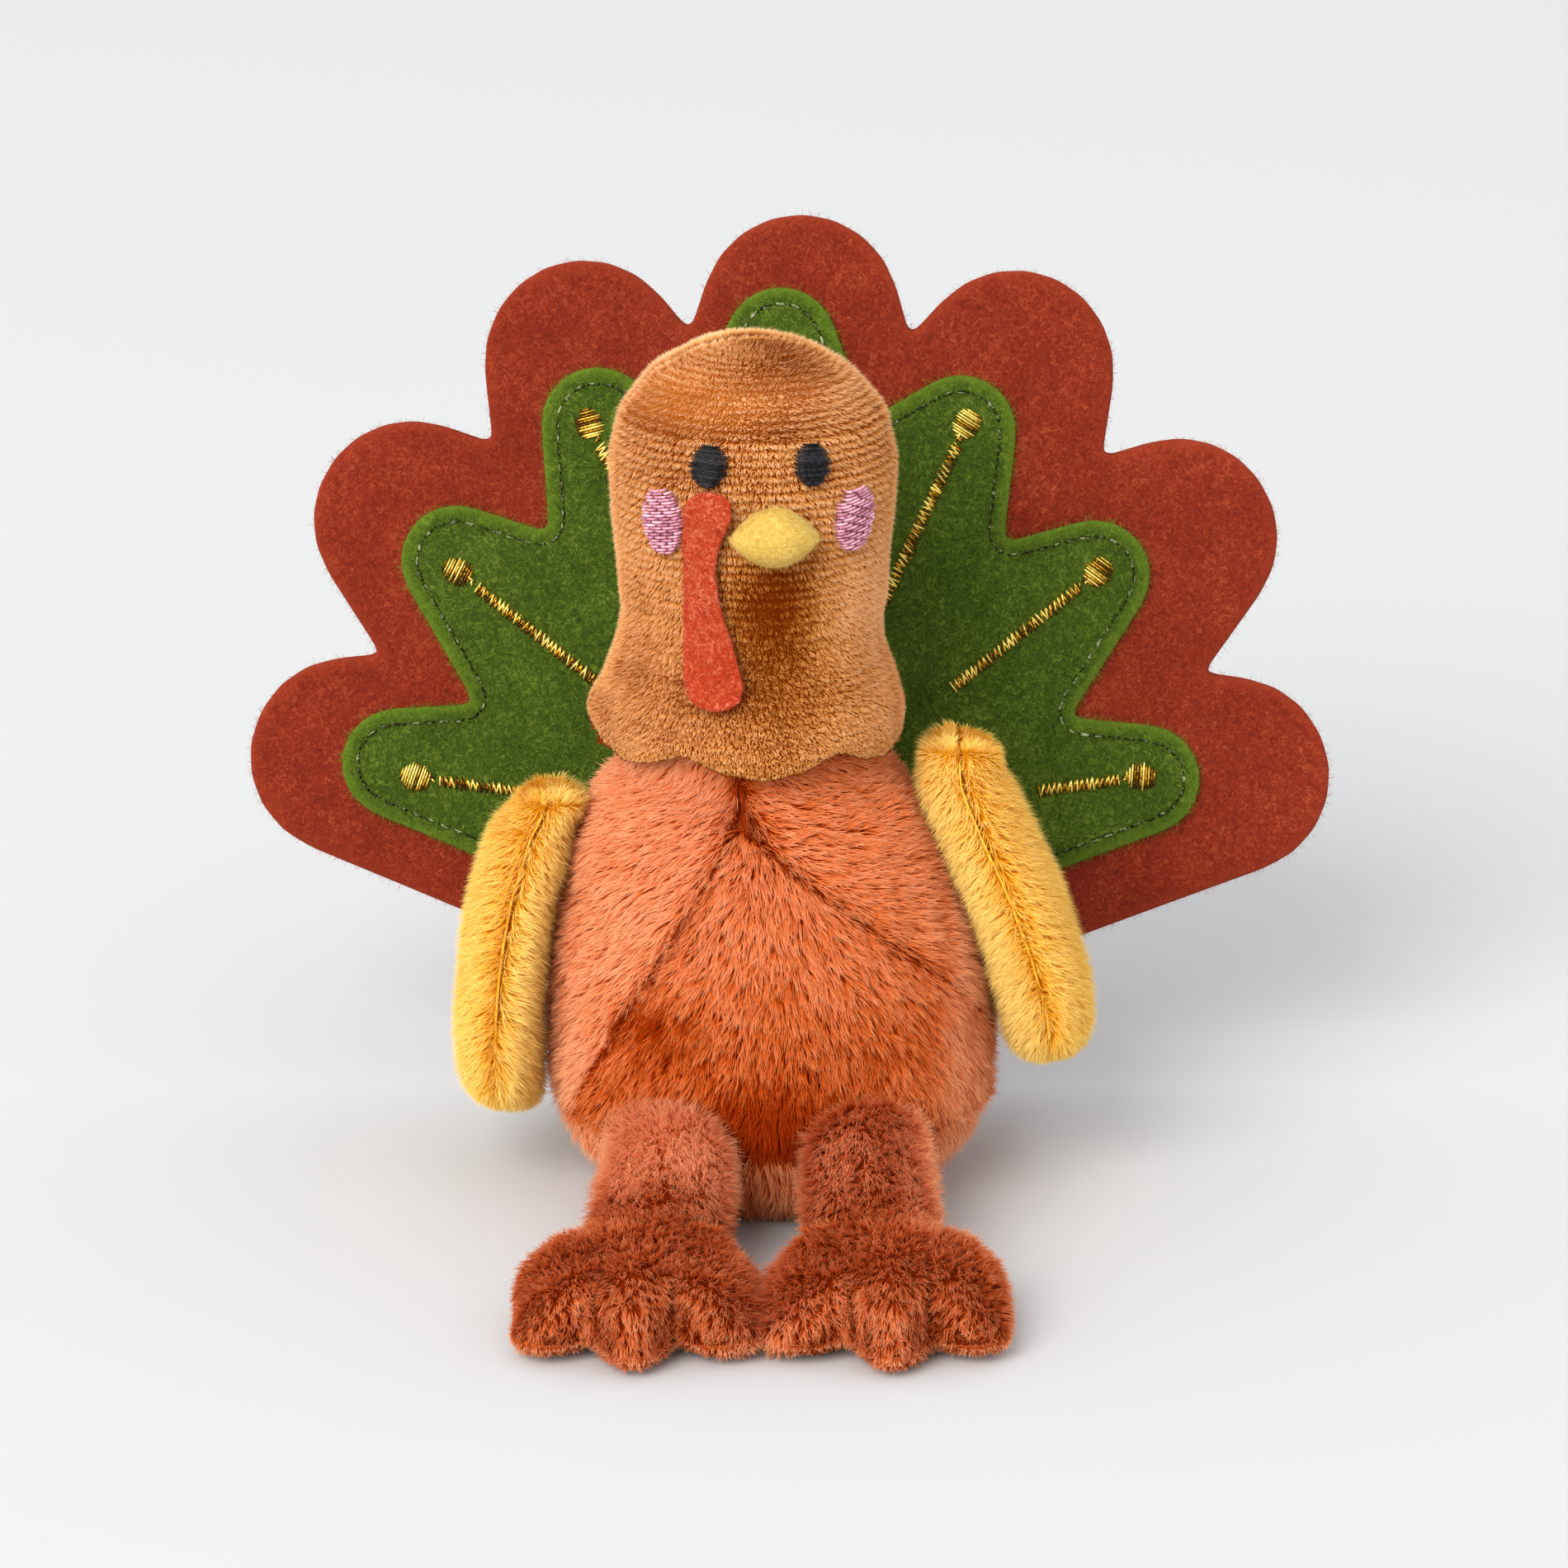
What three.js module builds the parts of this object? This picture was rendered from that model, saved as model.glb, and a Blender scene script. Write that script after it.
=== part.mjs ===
// A plush turkey decoration that sits on a shelf: a pear-shaped body with a flat base, a tall head with a
// scalloped collar, two hanging wings, two legs with three-toed feet, and a stitched felt tail fan.
// Each fabric panel is a solid sheet from its backing to the tips of its pile. Millimetres and degrees,
// +Z up, the face looks along -Y, and the origin is the centre of the flat base on the floor.

import * as THREE from "three";

const { abs, acos, asin, cos, hypot, max, min, PI, sin, sqrt } = Math;
const { degToRad, lerp, smoothstep } = THREE.MathUtils;

// Clearance between neighbours that are sewn or laid together, and round a filling in its cover.
const gap = 0.3;
const fillGap = 1;

// Fabric thicknesses, backing and pile together.
const bodySkin = 4.5;
const headSkin = 2.5;
const wingSkin = 4;
const legSkin = 3.5;
const soleSkin = 2;
const feltSheet = 1.2;
const beakFelt = 0.8;
const satinThickness = 0.6;

// Body: a pear on a flat base, with a ball at the neck that the collar turns over.
const bodyWidth = 75;
const bodyDepth = 73;
const restWidth = 44;
const bodyWidestHeight = 22;
const taperHeight = 48.8;
const shoulderFullness = 0.7; // below 1 the body stays wide to just under the waist
const neckAboveWaist = 6.2;
const neckRadius = 23;
const neckOffset = -3; // the neck sits a little to the left of the base
const baseSeamHeight = 15;
const bellyTipBelowWaist = 2.8;
const bellyTipAngle = -6;
const bellyLeftSpread = 58;
const bellyRightSpread = 108;
const bellyRightBow = 0.9; // below 1 the seam bows outwards near its tip
const bellyTipSharpness = 40;

// Filling inside the body.
const pelletBagHeight = 18;
const pelletBagMouth = 10;
const pelletBagCloth = 0.8;

// Head: a collar round the neck ball, a narrower cheek line, a wide crown and a dome.
const hemBelowNeck = 2.5;
const hemScallop = 3.5;
const hemScallops = 6;
const collarAboveNeck = 2.5;
const cheekAboveCollar = 16;
const cheekWidth = 43.4;
const crownAboveCheek = 25.5;
const crownWidth = 47.4;
const crownDepthShare = 0.96;
const domeHeight = 20.2;
const headTurnAngle = 3.6; // the face looks a little to the right

// Face.
const beakAboveCheek = 18.2;
const beakWidth = 14.6;
const beakRise = 4.9;
const beakDrop = 4.5;
const beakReach = 7;
const beakTurnAngle = 8.6;
const eyeWidth = 6.2;
const eyeHeight = 6.8;
const eyeAboveBeak = 11.3;
const eyeAngle = 20.6;
const blushWidth = 7.2;
const blushHeight = 11;
const blushAboveBeak = 1.4;
const blushAngle = 40.9;
const snoodTopAboveBeak = 7.4;
const snoodLength = 35.2;
const snoodTopWidth = 8;
const snoodWaistWidth = 4.8;
const snoodEndWidth = 9.2;
const snoodLeft = 10.2; // its straight edge, left of the head's axis
const snoodFelt = 1;

// Wings: flat pads hung edge on from the shoulders.
const wingLength = 56;
const wingDepth = 37;
const leftWingThickness = 13.2;
const rightWingThickness = 14.8;
const wingForward = 3;
const leftWingBelowWaist = 4;
const rightWingAboveWaist = 4.6;

// Legs and feet.
const legWidth = 20.6;
const legTopHeight = 24.5;
const legUnderHeight = 6.5;
const hipSeamHeight = 15;
const hipLeft = 16.1;
const hipRight = 15;
const footWidth = 38.9;
const feetMeet = -1.35; // the inner edges of the feet meet a little to the left of the base
const footReach = 90.6; // from the base's centre to the middle toe's tip
const footHeight = 11.5;
const instepHeight = 13.5;
const toeSeamHeight = 3.5;
const toeSetback = 5;
const toeNotch = 4.2;

// Tail: felt sheets that lean back, on a plane behind the body.
const tailLeanAngle = 8;
const tailTurnAngle = -1.3; // the fan is sewn on a little turned, its right side lower
const tailCentreX = 2.8;
const tailCentreHeight = 45.6;
const tailStandOff = 3; // from the fattest part of the body's back to the fan
const tailRadius = 86.2; // from the fan's centre to the centre of the top lobe's rounding
const tailLobe = 16.6;
const tailPoint = 38;
const tailPointRounding = 8;
const valleyRounding = 1.5;
const interlining = 1;
const greenRadius = 81.7;
const greenLobe = 9.3;
const greenPoint = 26;
const greenShift = -3.2;
const stitchInset = 2.6;
const stitchThread = 0.5;
const goldThickness = 0.5;
const goldLineWidth = 2;
const goldDot = 5;
const goldLink = 1.5;
const goldLinkWidth = 0.6;
const goldShift = -1.7;
const goldTurnAngle = 1.3;

// Lobes of the fan from the top one down to the lowest: the angle from level, and the distance as a share
// of the top one's.
const tailLobeAngles = [90, 65.2, 38, 7.5];
const tailLobeShares = [1, 0.994, 0.946, 0.872];
const tailValleyAngles = [77.5, 51.2, 21.5];
const tailValleyShares = [0.984, 0.942, 0.86];
const greenLobeAngles = [90, 65.9, 39.4, 8.4];
const greenLobeShares = [1, 0.908, 0.847, 0.78];
const greenValleyAngles = [78, 52.2, 21.5];
const greenValleyShares = [0.864, 0.758, 0.656];
const goldAngles = [90, 65.2, 38.9, 7.8];
const goldDotShares = [0.95, 0.92, 0.845, 0.755];
const goldStartShares = [0.51, 0.51, 0.46, 0.54];

// Sizes that follow from the ones above.
const waistHeight = bodyWidestHeight + taperHeight;
const neckHeight = waistHeight + neckAboveWaist;
const waistAngle = asin(neckAboveWaist / neckRadius);
const bellyTipHeight = waistHeight - bellyTipBelowWaist;
const collarHeight = neckHeight + collarAboveNeck;
const cheekHeight = collarHeight + cheekAboveCollar;
const crownHeight = cheekHeight + crownAboveCheek;
const collarRadius = neckRadius + gap + headSkin;
const beakHeight = cheekHeight + beakAboveCheek;
const tailBehind = bodyDepth / 2 + tailStandOff;
const tailTilt = degToRad(tailLeanAngle);

const rust = 0x93362a;
const green = 0x3f6e24;
const goldThread = 0xc9a23a;
const caramel = 0xc27a3a;
const coral = 0xd9703f;
const yellow = 0xf2c24a;
const brown = 0xb5603c;
const white = 0xe8e4da;

const turkey = new THREE.Group();

// Adds one named mesh to the turkey.
function piece(name, geometry, color, roughness = 0.95, metalness = 0) {
  const mesh = new THREE.Mesh(
    geometry,
    new THREE.MeshStandardMaterial({ color, roughness, metalness }),
  );
  mesh.name = name;
  turkey.add(mesh);
  return mesh;
}

const steps = (count) => Array.from({ length: count + 1 }, (_, i) => i / count);

// A closed solid through a stack of rings that all have the same even number of points. Points that
// fall together become one, so a ring may shrink to a point.
function stack(rings) {
  const count = rings[0].length;
  const vertices = [];
  const seen = new Map();
  const index = rings.map((ring) =>
    ring.map((p) => {
      const key = [p.x, p.y, p.z].map((c) => c.toFixed(3)).join();
      if (!seen.has(key)) {
        seen.set(key, vertices.length);
        vertices.push(p);
      }
      return seen.get(key);
    }),
  );
  const faces = [];
  const quad = (a, b, c, d) => {
    for (const face of [[a, b, c], [a, c, d]])
      if (new Set(face).size === 3) faces.push(face);
  };
  for (let r = 0; r < rings.length - 1; r++)
    for (let i = 0; i < count; i++) {
      const j = (i + 1) % count;
      quad(index[r][i], index[r][j], index[r + 1][j], index[r + 1][i]);
    }
  const first = index[0];
  const last = index[index.length - 1];
  for (let i = 0; i < count / 2 - 1; i++) {
    const k = count - 1 - i;
    quad(first[i + 1], first[i], first[k], first[k - 1]);
    quad(last[i], last[i + 1], last[k - 1], last[k]);
  }
  const volume = faces.reduce(
    (sum, [a, b, c]) => sum + vertices[a].dot(vertices[b].clone().cross(vertices[c])),
    0,
  );
  if (volume < 0) faces.forEach((face) => face.reverse());
  const geometry = new THREE.BufferGeometry().setFromPoints(vertices);
  geometry.setIndex(faces.flat());
  geometry.computeVertexNormals();
  return geometry;
}

// A fabric sheet. The surface gives a point for a place across, a place along and a depth below the face.
function sheet(surface, thickness, across, along) {
  return stack(
    steps(along).map((v) => [
      ...steps(across).map((u) => surface(u, v, 0)),
      ...steps(across).reverse().map((u) => surface(u, v, thickness)),
    ]),
  );
}

// The point of an outline of radius against height that lies a depth below its face.
function below(outline, t, depth) {
  const step = 1e-4;
  const [r0, z0] = outline(t - step);
  const [r1, z1] = outline(t + step);
  const length = hypot(r1 - r0, z1 - z0);
  const [r, z] = outline(t);
  return [r - (depth * (z1 - z0)) / length, z + (depth * (r1 - r0)) / length];
}

// The body's outline from the rim of its flat base (0) past its widest place (1) and its waist (2) to the
// top of the neck ball (3).
function bodyOutline(t) {
  if (t <= 1) {
    const a = (max(t, -t) * PI) / 2;
    return [
      lerp(restWidth / 2, bodyWidth / 2, t < 0 ? -sin(a) : sin(a)),
      bodyWidestHeight * (1 - cos(a)),
    ];
  }
  if (t <= 2)
    return [
      lerp(neckRadius * cos(waistAngle), bodyWidth / 2, max(0, cos(((t - 1) * PI) / 2)) ** shoulderFullness),
      lerp(bodyWidestHeight, waistHeight, t - 1),
    ];
  const a = lerp(-waistAngle, PI / 2, t - 2);
  return [neckRadius * cos(a), neckHeight + neckRadius * sin(a)];
}

// The place on the body's outline at a height below the waist.
const bodyPlace = (z) =>
  z < bodyWidestHeight
    ? acos(1 - max(z, 0) / bodyWidestHeight) / (PI / 2)
    : 1 + (min(z, waistHeight) - bodyWidestHeight) / taperHeight;

const bodyCentre = (z) => neckOffset * smoothstep(z, bodyWidestHeight, waistHeight);
const bodyDepthShare = (z) =>
  lerp(bodyDepth / bodyWidth, 1, smoothstep(z, bodyWidestHeight, waistHeight));

// How far back the body reaches at a height: it is pressed flat against the tail.
const stitchedFace = stitchThread + 2 * gap;
const backLimit = (z) =>
  tailBehind +
  ((z - tailCentreHeight) * sin(tailTilt) - stitchedFace) / cos(tailTilt);

// A point of the body. The angle is from the front towards the right.
function bodyPoint(angle, t, depth) {
  const [r, z] = below(bodyOutline, t, depth);
  const a = degToRad(angle);
  const back = -r * cos(a) * bodyDepthShare(z);
  return new THREE.Vector3(
    bodyCentre(z) + r * sin(a),
    min(back, backLimit(z) - depth),
    z,
  );
}

// The front and the sides of the body at a height.
function bodyFront(x, z) {
  const r = bodyOutline(bodyPlace(z))[0];
  const offset = min(abs(x - bodyCentre(z)), r);
  return -sqrt(r * r - offset * offset) * bodyDepthShare(z);
}
const bodySide = (side, z) =>
  bodyCentre(z) + side * bodyOutline(bodyPlace(z))[0];

// The belly panel is a wedge: its seams part from a tip below the collar and run down to the base seam.
const bellyOpening = (z) =>
  max(0, (bellyTipHeight - z) / (bellyTipHeight - baseSeamHeight));
const bellyLeft = (z) => bellyTipAngle - bellyLeftSpread * bellyOpening(z);
const bellyRight = (z) => bellyTipAngle + bellyRightSpread * bellyOpening(z) ** bellyRightBow;
const seamPlace = bodyPlace(baseSeamHeight);
const neckTopPlace = 3;

// Places up the side panels: even from the base seam to the waist, then over the neck ball.
const sideRows = [
  ...steps(8).map((s) => lerp(seamPlace, 2, s)),
  ...steps(5)
    .slice(1)
    .map((s) => lerp(2, neckTopPlace, s)),
];

function bodySidePanel(side) {
  const column = (u, t, depth) => {
    const height = bodyOutline(t)[1];
    const front = side < 0 ? bellyLeft(height) : bellyRight(height);
    const point = bodyPoint(lerp(front, side * 180, u), t, depth);
    return point.add(new THREE.Vector3((side * gap) / 2, 0, 0));
  };
  return stack(
    sideRows.map((t) => [
      ...steps(9).map((u) => column(u, t, 0)),
      ...steps(9).reverse().map((u) => column(u, t, bodySkin)),
    ]),
  );
}

function bellyPanel() {
  const tip = bodyPlace(bellyTipHeight - 3 * gap);
  const start = bodyPlace(baseSeamHeight + gap);
  return sheet(
    (u, v, depth) => {
      const t = lerp(start, tip, v);
      const [r, z] = bodyOutline(t);
      const trim = (gap / r) * (180 / PI);
      const middle = (bellyLeft(z) + bellyRight(z)) / 2;
      const half = max(0, (bellyRight(z) - bellyLeft(z)) / 2 - trim);
      return bodyPoint(middle + half * (1 - v ** bellyTipSharpness) * (2 * u - 1), t, depth);
    },
    bodySkin,
    12,
    8,
  );
}

// A ring of points round the body, or of one point on its axis.
const around = (count, point) => steps(count).slice(1).map((s) => point(360 * s));

function basePanel() {
  const count = 28;
  const top = bodyPlace(baseSeamHeight - gap);
  const flat = (share, z, inset) =>
    around(count, (angle) => {
      const rim = bodyPoint(angle, 0, 0);
      const reach = share * (1 - inset / (restWidth / 2));
      return new THREE.Vector3(rim.x * reach, rim.y * reach, z);
    });
  const rise = steps(4).map((s) => top * s);
  return stack([
    flat(0, 0, 0),
    flat(1 / 2, 0, 0),
    ...rise.map((t) => around(count, (angle) => bodyPoint(angle, t, 0))),
    ...rise.reverse().map((t) => around(count, (angle) => bodyPoint(angle, t, bodySkin))),
    flat(0, bodySkin, 0),
  ]);
}

const inside = bodySkin + fillGap;

// The height of a place on the outline, taken a depth inside.
function placeAtDepth(height, depth) {
  let low = 0;
  let high = 2;
  for (let i = 0; i < 40; i++) {
    const middle = (low + high) / 2;
    if (below(bodyOutline, middle, depth)[1] < height) low = middle;
    else high = middle;
  }
  return low;
}

const axisPoint = (count, z) => around(count, () => new THREE.Vector3(bodyCentre(z), 0, z));

function bodyStuffing() {
  const count = 20;
  const bottom = pelletBagHeight + fillGap;
  const start = placeAtDepth(bottom, inside);
  const rows = [
    ...steps(6).map((s) => lerp(start, 2, s)),
    ...steps(4).slice(1).map((s) => lerp(2, neckTopPlace, s)),
  ];
  return stack([
    axisPoint(count, bottom),
    ...rows.map((t) => around(count, (angle) => bodyPoint(angle, t, inside))),
  ]);
}

// The pellet bag is a cloth cup with a gathered mouth, and its fill lies inside it.
function pelletRows(depth, top) {
  const end = placeAtDepth(top, depth);
  return steps(3).map((s) => around(20, (angle) => bodyPoint(angle, end * s, depth)));
}
const mouthRing = (radius, z) =>
  around(20, (angle) => {
    const a = degToRad(angle);
    return new THREE.Vector3(radius * sin(a), -radius * cos(a), z);
  });

function pelletBag() {
  const cloth = inside + pelletBagCloth;
  return stack([
    axisPoint(20, inside),
    ...pelletRows(inside, pelletBagHeight),
    mouthRing(pelletBagMouth / 2, pelletBagHeight),
    mouthRing(pelletBagMouth / 2, pelletBagHeight - pelletBagCloth),
    ...pelletRows(cloth, pelletBagHeight - pelletBagCloth).reverse(),
    axisPoint(20, cloth),
  ]);
}

function pelletFill() {
  const depth = inside + pelletBagCloth + fillGap;
  const top = pelletBagHeight - pelletBagCloth - gap;
  return stack([
    axisPoint(20, depth),
    ...pelletRows(depth, top),
    axisPoint(20, top),
  ]);
}

// The head's outline from the hem (0) past the collar's top (1), the cheeks (2) and the crown (3) to the
// top of the dome (4).
function headOutline(t, hem) {
  const blend = (s) => (1 - cos(PI * s)) / 2;
  if (t <= 1) return [collarRadius, lerp(hem, collarHeight, t)];
  if (t <= 2)
    return [
      lerp(collarRadius, cheekWidth / 2, blend(t - 1)),
      lerp(collarHeight, cheekHeight, t - 1),
    ];
  if (t <= 3)
    return [
      lerp(cheekWidth / 2, crownWidth / 2, blend(t - 2)),
      lerp(cheekHeight, crownHeight, t - 2),
    ];
  const a = ((t - 3) * PI) / 2;
  return [(crownWidth / 2) * cos(a), crownHeight + domeHeight * sin(a)];
}
const headPlace = (z) => {
  if (z < cheekHeight) return 1 + (z - collarHeight) / cheekAboveCollar;
  if (z < crownHeight) return 2 + (z - cheekHeight) / crownAboveCheek;
  return 3 + asin((z - crownHeight) / domeHeight) / (PI / 2);
};

const headDepthShare = (z) =>
  lerp(1, crownDepthShare, smoothstep(z, cheekHeight, crownHeight));

// A point at a radius and a height of the head, with the angle from the face's middle towards the right.
function headTurned(angle, r, z) {
  const a = degToRad(angle);
  const point = new THREE.Vector3(
    r * sin(a),
    -r * cos(a) * headDepthShare(z),
    z,
  );
  point.applyAxisAngle(new THREE.Vector3(0, 0, 1), degToRad(headTurnAngle));
  point.x += neckOffset;
  return point;
}

// A point on the head with scallops along the hem.
function headPoint(angle, t, depth) {
  const scallop = hemScallop * (1 - abs(cos((degToRad(angle) * hemScallops) / 2)));
  const hem = neckHeight - hemBelowNeck + scallop;
  const [r, z] = below((s) => headOutline(max(s, 0), hem), max(t, 1e-4), depth);
  return headTurned(angle, r, t === 0 ? hem : z);
}

// A point that stands off the face at a height.
const facePoint = (angle, z, off) =>
  headTurned(angle, headOutline(headPlace(z), 0)[0] + off, z);

const headRows = [0, 1, 1.34, 1.67, 2, 2.34, 2.67, 3, 3.25, 3.5, 3.72, 3.88, 4];

// One half of the head, from side seam to side seam.
function headPanel(side) {
  const column = (u, t, depth) => {
    const middle = side < 0 ? 0 : 180;
    const point = headPoint(middle + 180 * (u - 1 / 2), t, depth);
    const away = new THREE.Vector3(0, (side * gap) / 2, 0);
    away.applyAxisAngle(new THREE.Vector3(0, 0, 1), degToRad(headTurnAngle));
    return point.add(away);
  };
  return stack(
    headRows.map((t) => [
      ...steps(12).map((u) => column(u, t, 0)),
      ...steps(12).reverse().map((u) => column(u, t, headSkin)),
    ]),
  );
}

// The head's filling rests on the neck ball, whose cap it follows.
function headStuffing() {
  const count = 20;
  const depth = headSkin + fillGap;
  const ball = neckRadius + fillGap;
  const start = 1.5;
  const rimRadius = below((s) => headOutline(s, 0), start, depth)[0];
  const rimAngle = acos(min(1, rimRadius / ball));
  const cap = steps(4).map((s) => {
    const a = lerp(PI / 2, rimAngle, s);
    return around(count, (angle) => headTurned(angle, ball * cos(a), neckHeight + ball * sin(a)));
  });
  const shell = [start, 2, 2.5, 3, 3.3, 3.6, 3.85, 4].map((t) =>
    around(count, (angle) => headPoint(angle, t, depth)),
  );
  return stack([...cap, ...shell]);
}

// A satin patch on the face, an ellipse as wide and as tall as given.
function satinPatch(angle, z, width, height) {
  return sheet(
    (u, v, depth) => {
      const rise = cos(PI * (1 - v));
      const half = (width / 2) * sqrt(max(0, 1 - rise * rise));
      const up = z + (rise * height) / 2;
      const radius = headOutline(headPlace(up), 0)[0];
      const turn = (((2 * u - 1) * half) / radius) * (180 / PI);
      return facePoint(angle + turn, up, gap + satinThickness - depth);
    },
    satinThickness,
    4,
    6,
  );
}

// The beak's upper and lower felt meet along a seam round its front.
const beakAngle = beakTurnAngle - headTurnAngle;
function beakPoint(u, v, rise, inset) {
  const open = max(0, 1 - u * u);
  const half = beakWidth / 2 - inset;
  const height = (abs(rise) - inset) * open ** 0.75;
  const reach = (beakReach - inset) * open ** 0.6;
  const radius = headOutline(headPlace(beakHeight), 0)[0];
  const turn = ((u * half) / radius) * (180 / PI);
  const z = beakHeight + Math.sign(rise) * height * cos((v * PI) / 2);
  return facePoint(beakAngle + turn, z, gap + reach * sin((v * PI) / 2));
}
function beakPanel(rise) {
  const shift = new THREE.Vector3(0, 0, (Math.sign(rise) * gap) / 2);
  return sheet(
    (u, v, depth) => beakPoint(2 * u - 1, v, rise, depth).add(shift),
    beakFelt,
    10,
    5,
  );
}
function beakStuffing() {
  const inset = beakFelt + gap;
  return stack(
    steps(8).map((u) => [
      ...steps(4).map((v) => beakPoint(2 * u - 1, v, beakRise, inset)),
      ...steps(4).reverse().map((v) => beakPoint(2 * u - 1, v, -beakDrop, inset)),
    ]),
  );
}

// The snood is a felt strip with one straight edge, a lobe at its top, a waist and a broad free end.
const snoodWaistShare = 0.36;
const snoodRoundShare = 0.1;
const snoodTop = beakHeight + snoodTopAboveBeak;
function snoodWidth(v) {
  const end = v < snoodWaistShare ? snoodTopWidth : snoodEndWidth;
  const span = v < snoodWaistShare ? snoodWaistShare : 1 - snoodWaistShare;
  const away = abs(v - snoodWaistShare) / span;
  return lerp(snoodWaistWidth, end, (1 - cos(PI * away)) / 2);
}
function snoodStrip() {
  const rows = 14;
  return sheet(
    (u, v, depth) => {
      const place = (1 - cos(PI * v)) / 2;
      const width = snoodWidth(place);
      const fromEnd = min(1, min(place, 1 - place) / snoodRoundShare);
      const round = sqrt(max(0, 1 - (1 - fromEnd) ** 2));
      const z = snoodTop - snoodLength * place;
      const x = -snoodLeft + width / 2 + ((2 * u - 1) * width * round) / 2;
      const radius = headOutline(headPlace(z), 0)[0];
      const angle = asin(x / radius) * (180 / PI);
      return facePoint(angle - headTurnAngle, z, 2 * gap + snoodFelt - depth);
    },
    snoodFelt,
    4,
    rows,
  );
}

// Wings hang edge on, with their inner faces along the body's sides. The pad swells below its tab and
// rounds off at its end.
const wingTabShare = 0.45;
const wingTabThickShare = 0.94;
const wingFullestShare = 0.6;
const wingSwellShare = 0.25;
const wingClosedShare = 0.12;
const wingBluntShare = 0.8;
const rounded = (v, start) => sqrt(max(0, 1 - (max(0, v - start) / (1 - start)) ** 2));
const swell = (v, end, tab) => lerp(tab, 1, sin((PI / 2) * min(1, v / end)));

const wings = {
  left: { side: -1, top: waistHeight - leftWingBelowWaist, half: leftWingThickness / 2 },
  right: { side: 1, top: waistHeight + rightWingAboveWaist, half: rightWingThickness / 2 },
};

function wingPoint(wing, across, v, inset) {
  const z = wing.top - (wingLength - inset) * v;
  const collar = neckOffset + wing.side * collarRadius;
  const body = bodySide(wing.side, z);
  const rest = wing.side * max(wing.side * body, wing.side > 0 ? collar : 0);
  const fullness = swell(v, wingSwellShare, wingTabThickShare);
  const closed = inset > 0 ? smoothstep(v, 0, wingClosedShare) : 1;
  const middle = rest + wing.side * (gap + wing.half * fullness);
  const thick = (wing.half - inset) * fullness * rounded(v, wingBluntShare) * closed;
  const width = swell(v, wingFullestShare, wingTabShare) * rounded(v, wingFullestShare);
  const deep = (wingDepth / 2 - inset) * width * closed;
  const a = degToRad(across);
  return new THREE.Vector3(
    middle + wing.side * thick * cos(a),
    deep * sin(a) - wingForward,
    z,
  );
}
const wingRows = 9;
const wingRow = (v) => (v * wingRows - 1) / (wingRows - 1);
function wingPanel(wing, face) {
  const shift = new THREE.Vector3((wing.side * face * gap) / 2, 0, 0);
  const middle = face > 0 ? 0 : 180;
  return sheet(
    (u, v, depth) => {
      const along = v === 0 ? 0 : lerp(wingClosedShare, 1, sin((PI / 2) * wingRow(v)));
      return wingPoint(wing, middle + 180 * (u - 1 / 2), along, depth).add(shift);
    },
    wingSkin,
    8,
    wingRows,
  );
}
function wingStuffing(wing) {
  const start = wingClosedShare + fillGap / wingLength;
  const rows = steps(7).map((v) => lerp(start, 1, sin((PI / 2) * v)));
  return stack(
    rows.map((v) => around(14, (angle) => wingPoint(wing, angle, v, wingSkin + fillGap))),
  );
}

// Legs run forward from the belly and widen into feet with three toes.
const legs = {
  left: { hip: -hipLeft, foot: feetMeet - (footWidth + gap) / 2 },
  right: { hip: hipRight, foot: feetMeet + (footWidth + gap) / 2 },
};
const footRiseShare = 0.16;
const footStartShare = 0.38;
const footFullShare = 0.64;
const toeRoundShare = 0.76;
const toeCount = 3;
const legFillShare = 0.06;
const legFillRim = legSkin + 3 * fillGap;
const soleFillGap = 1.5 * fillGap;
const toeWave = (u) => abs(cos((toeCount * PI * u) / 2));
const legHalf = (v) => lerp(legWidth, footWidth, smoothstep(v, footStartShare, footFullShare)) / 2;
const arch = (s, power) => max(0, 1 - abs(s) ** power) ** (1 / power);

// Heights along a leg: its top, the foot's top, the seam and the underside.
const legTop = (v) => lerp(legTopHeight, instepHeight, smoothstep(v, 0, footFullShare));
const footTop = (v) => footHeight * smoothstep(v, footRiseShare, footFullShare);
const legSeam = (v) => lerp(hipSeamHeight, toeSeamHeight, smoothstep(v, 0, footFullShare));
const legUnder = (v) => lerp(legUnderHeight, -gap, smoothstep(v, 0, footStartShare));

// The height of a leg's face, for a place across from -1 to 1 and along from the hip to the toes. The upper
// side is 1 and the sole is -1.
function legHeight(u, v, side, inset) {
  const seam = legSeam(v);
  const end = rounded(v, toeRoundShare);
  if (side < 0) {
    const drop = seam - legUnder(v);
    return max(0, seam - gap / 2 - (drop - inset) * arch(u, 4) * end);
  }
  const half = legHalf(v);
  const tube = (legTop(v) - seam) * arch((u * half) / (legWidth / 2), 2);
  const furrow = lerp(1, sqrt(toeWave(u)), smoothstep(v, footFullShare, 1) / 2);
  const slab = max(0, footTop(v) - seam) * arch(u, 3) * furrow;
  const full = max(legTop(v), footTop(v)) - seam;
  return seam + gap / 2 + hypot(tube, slab) * (1 - inset / full) * end;
}

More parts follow.
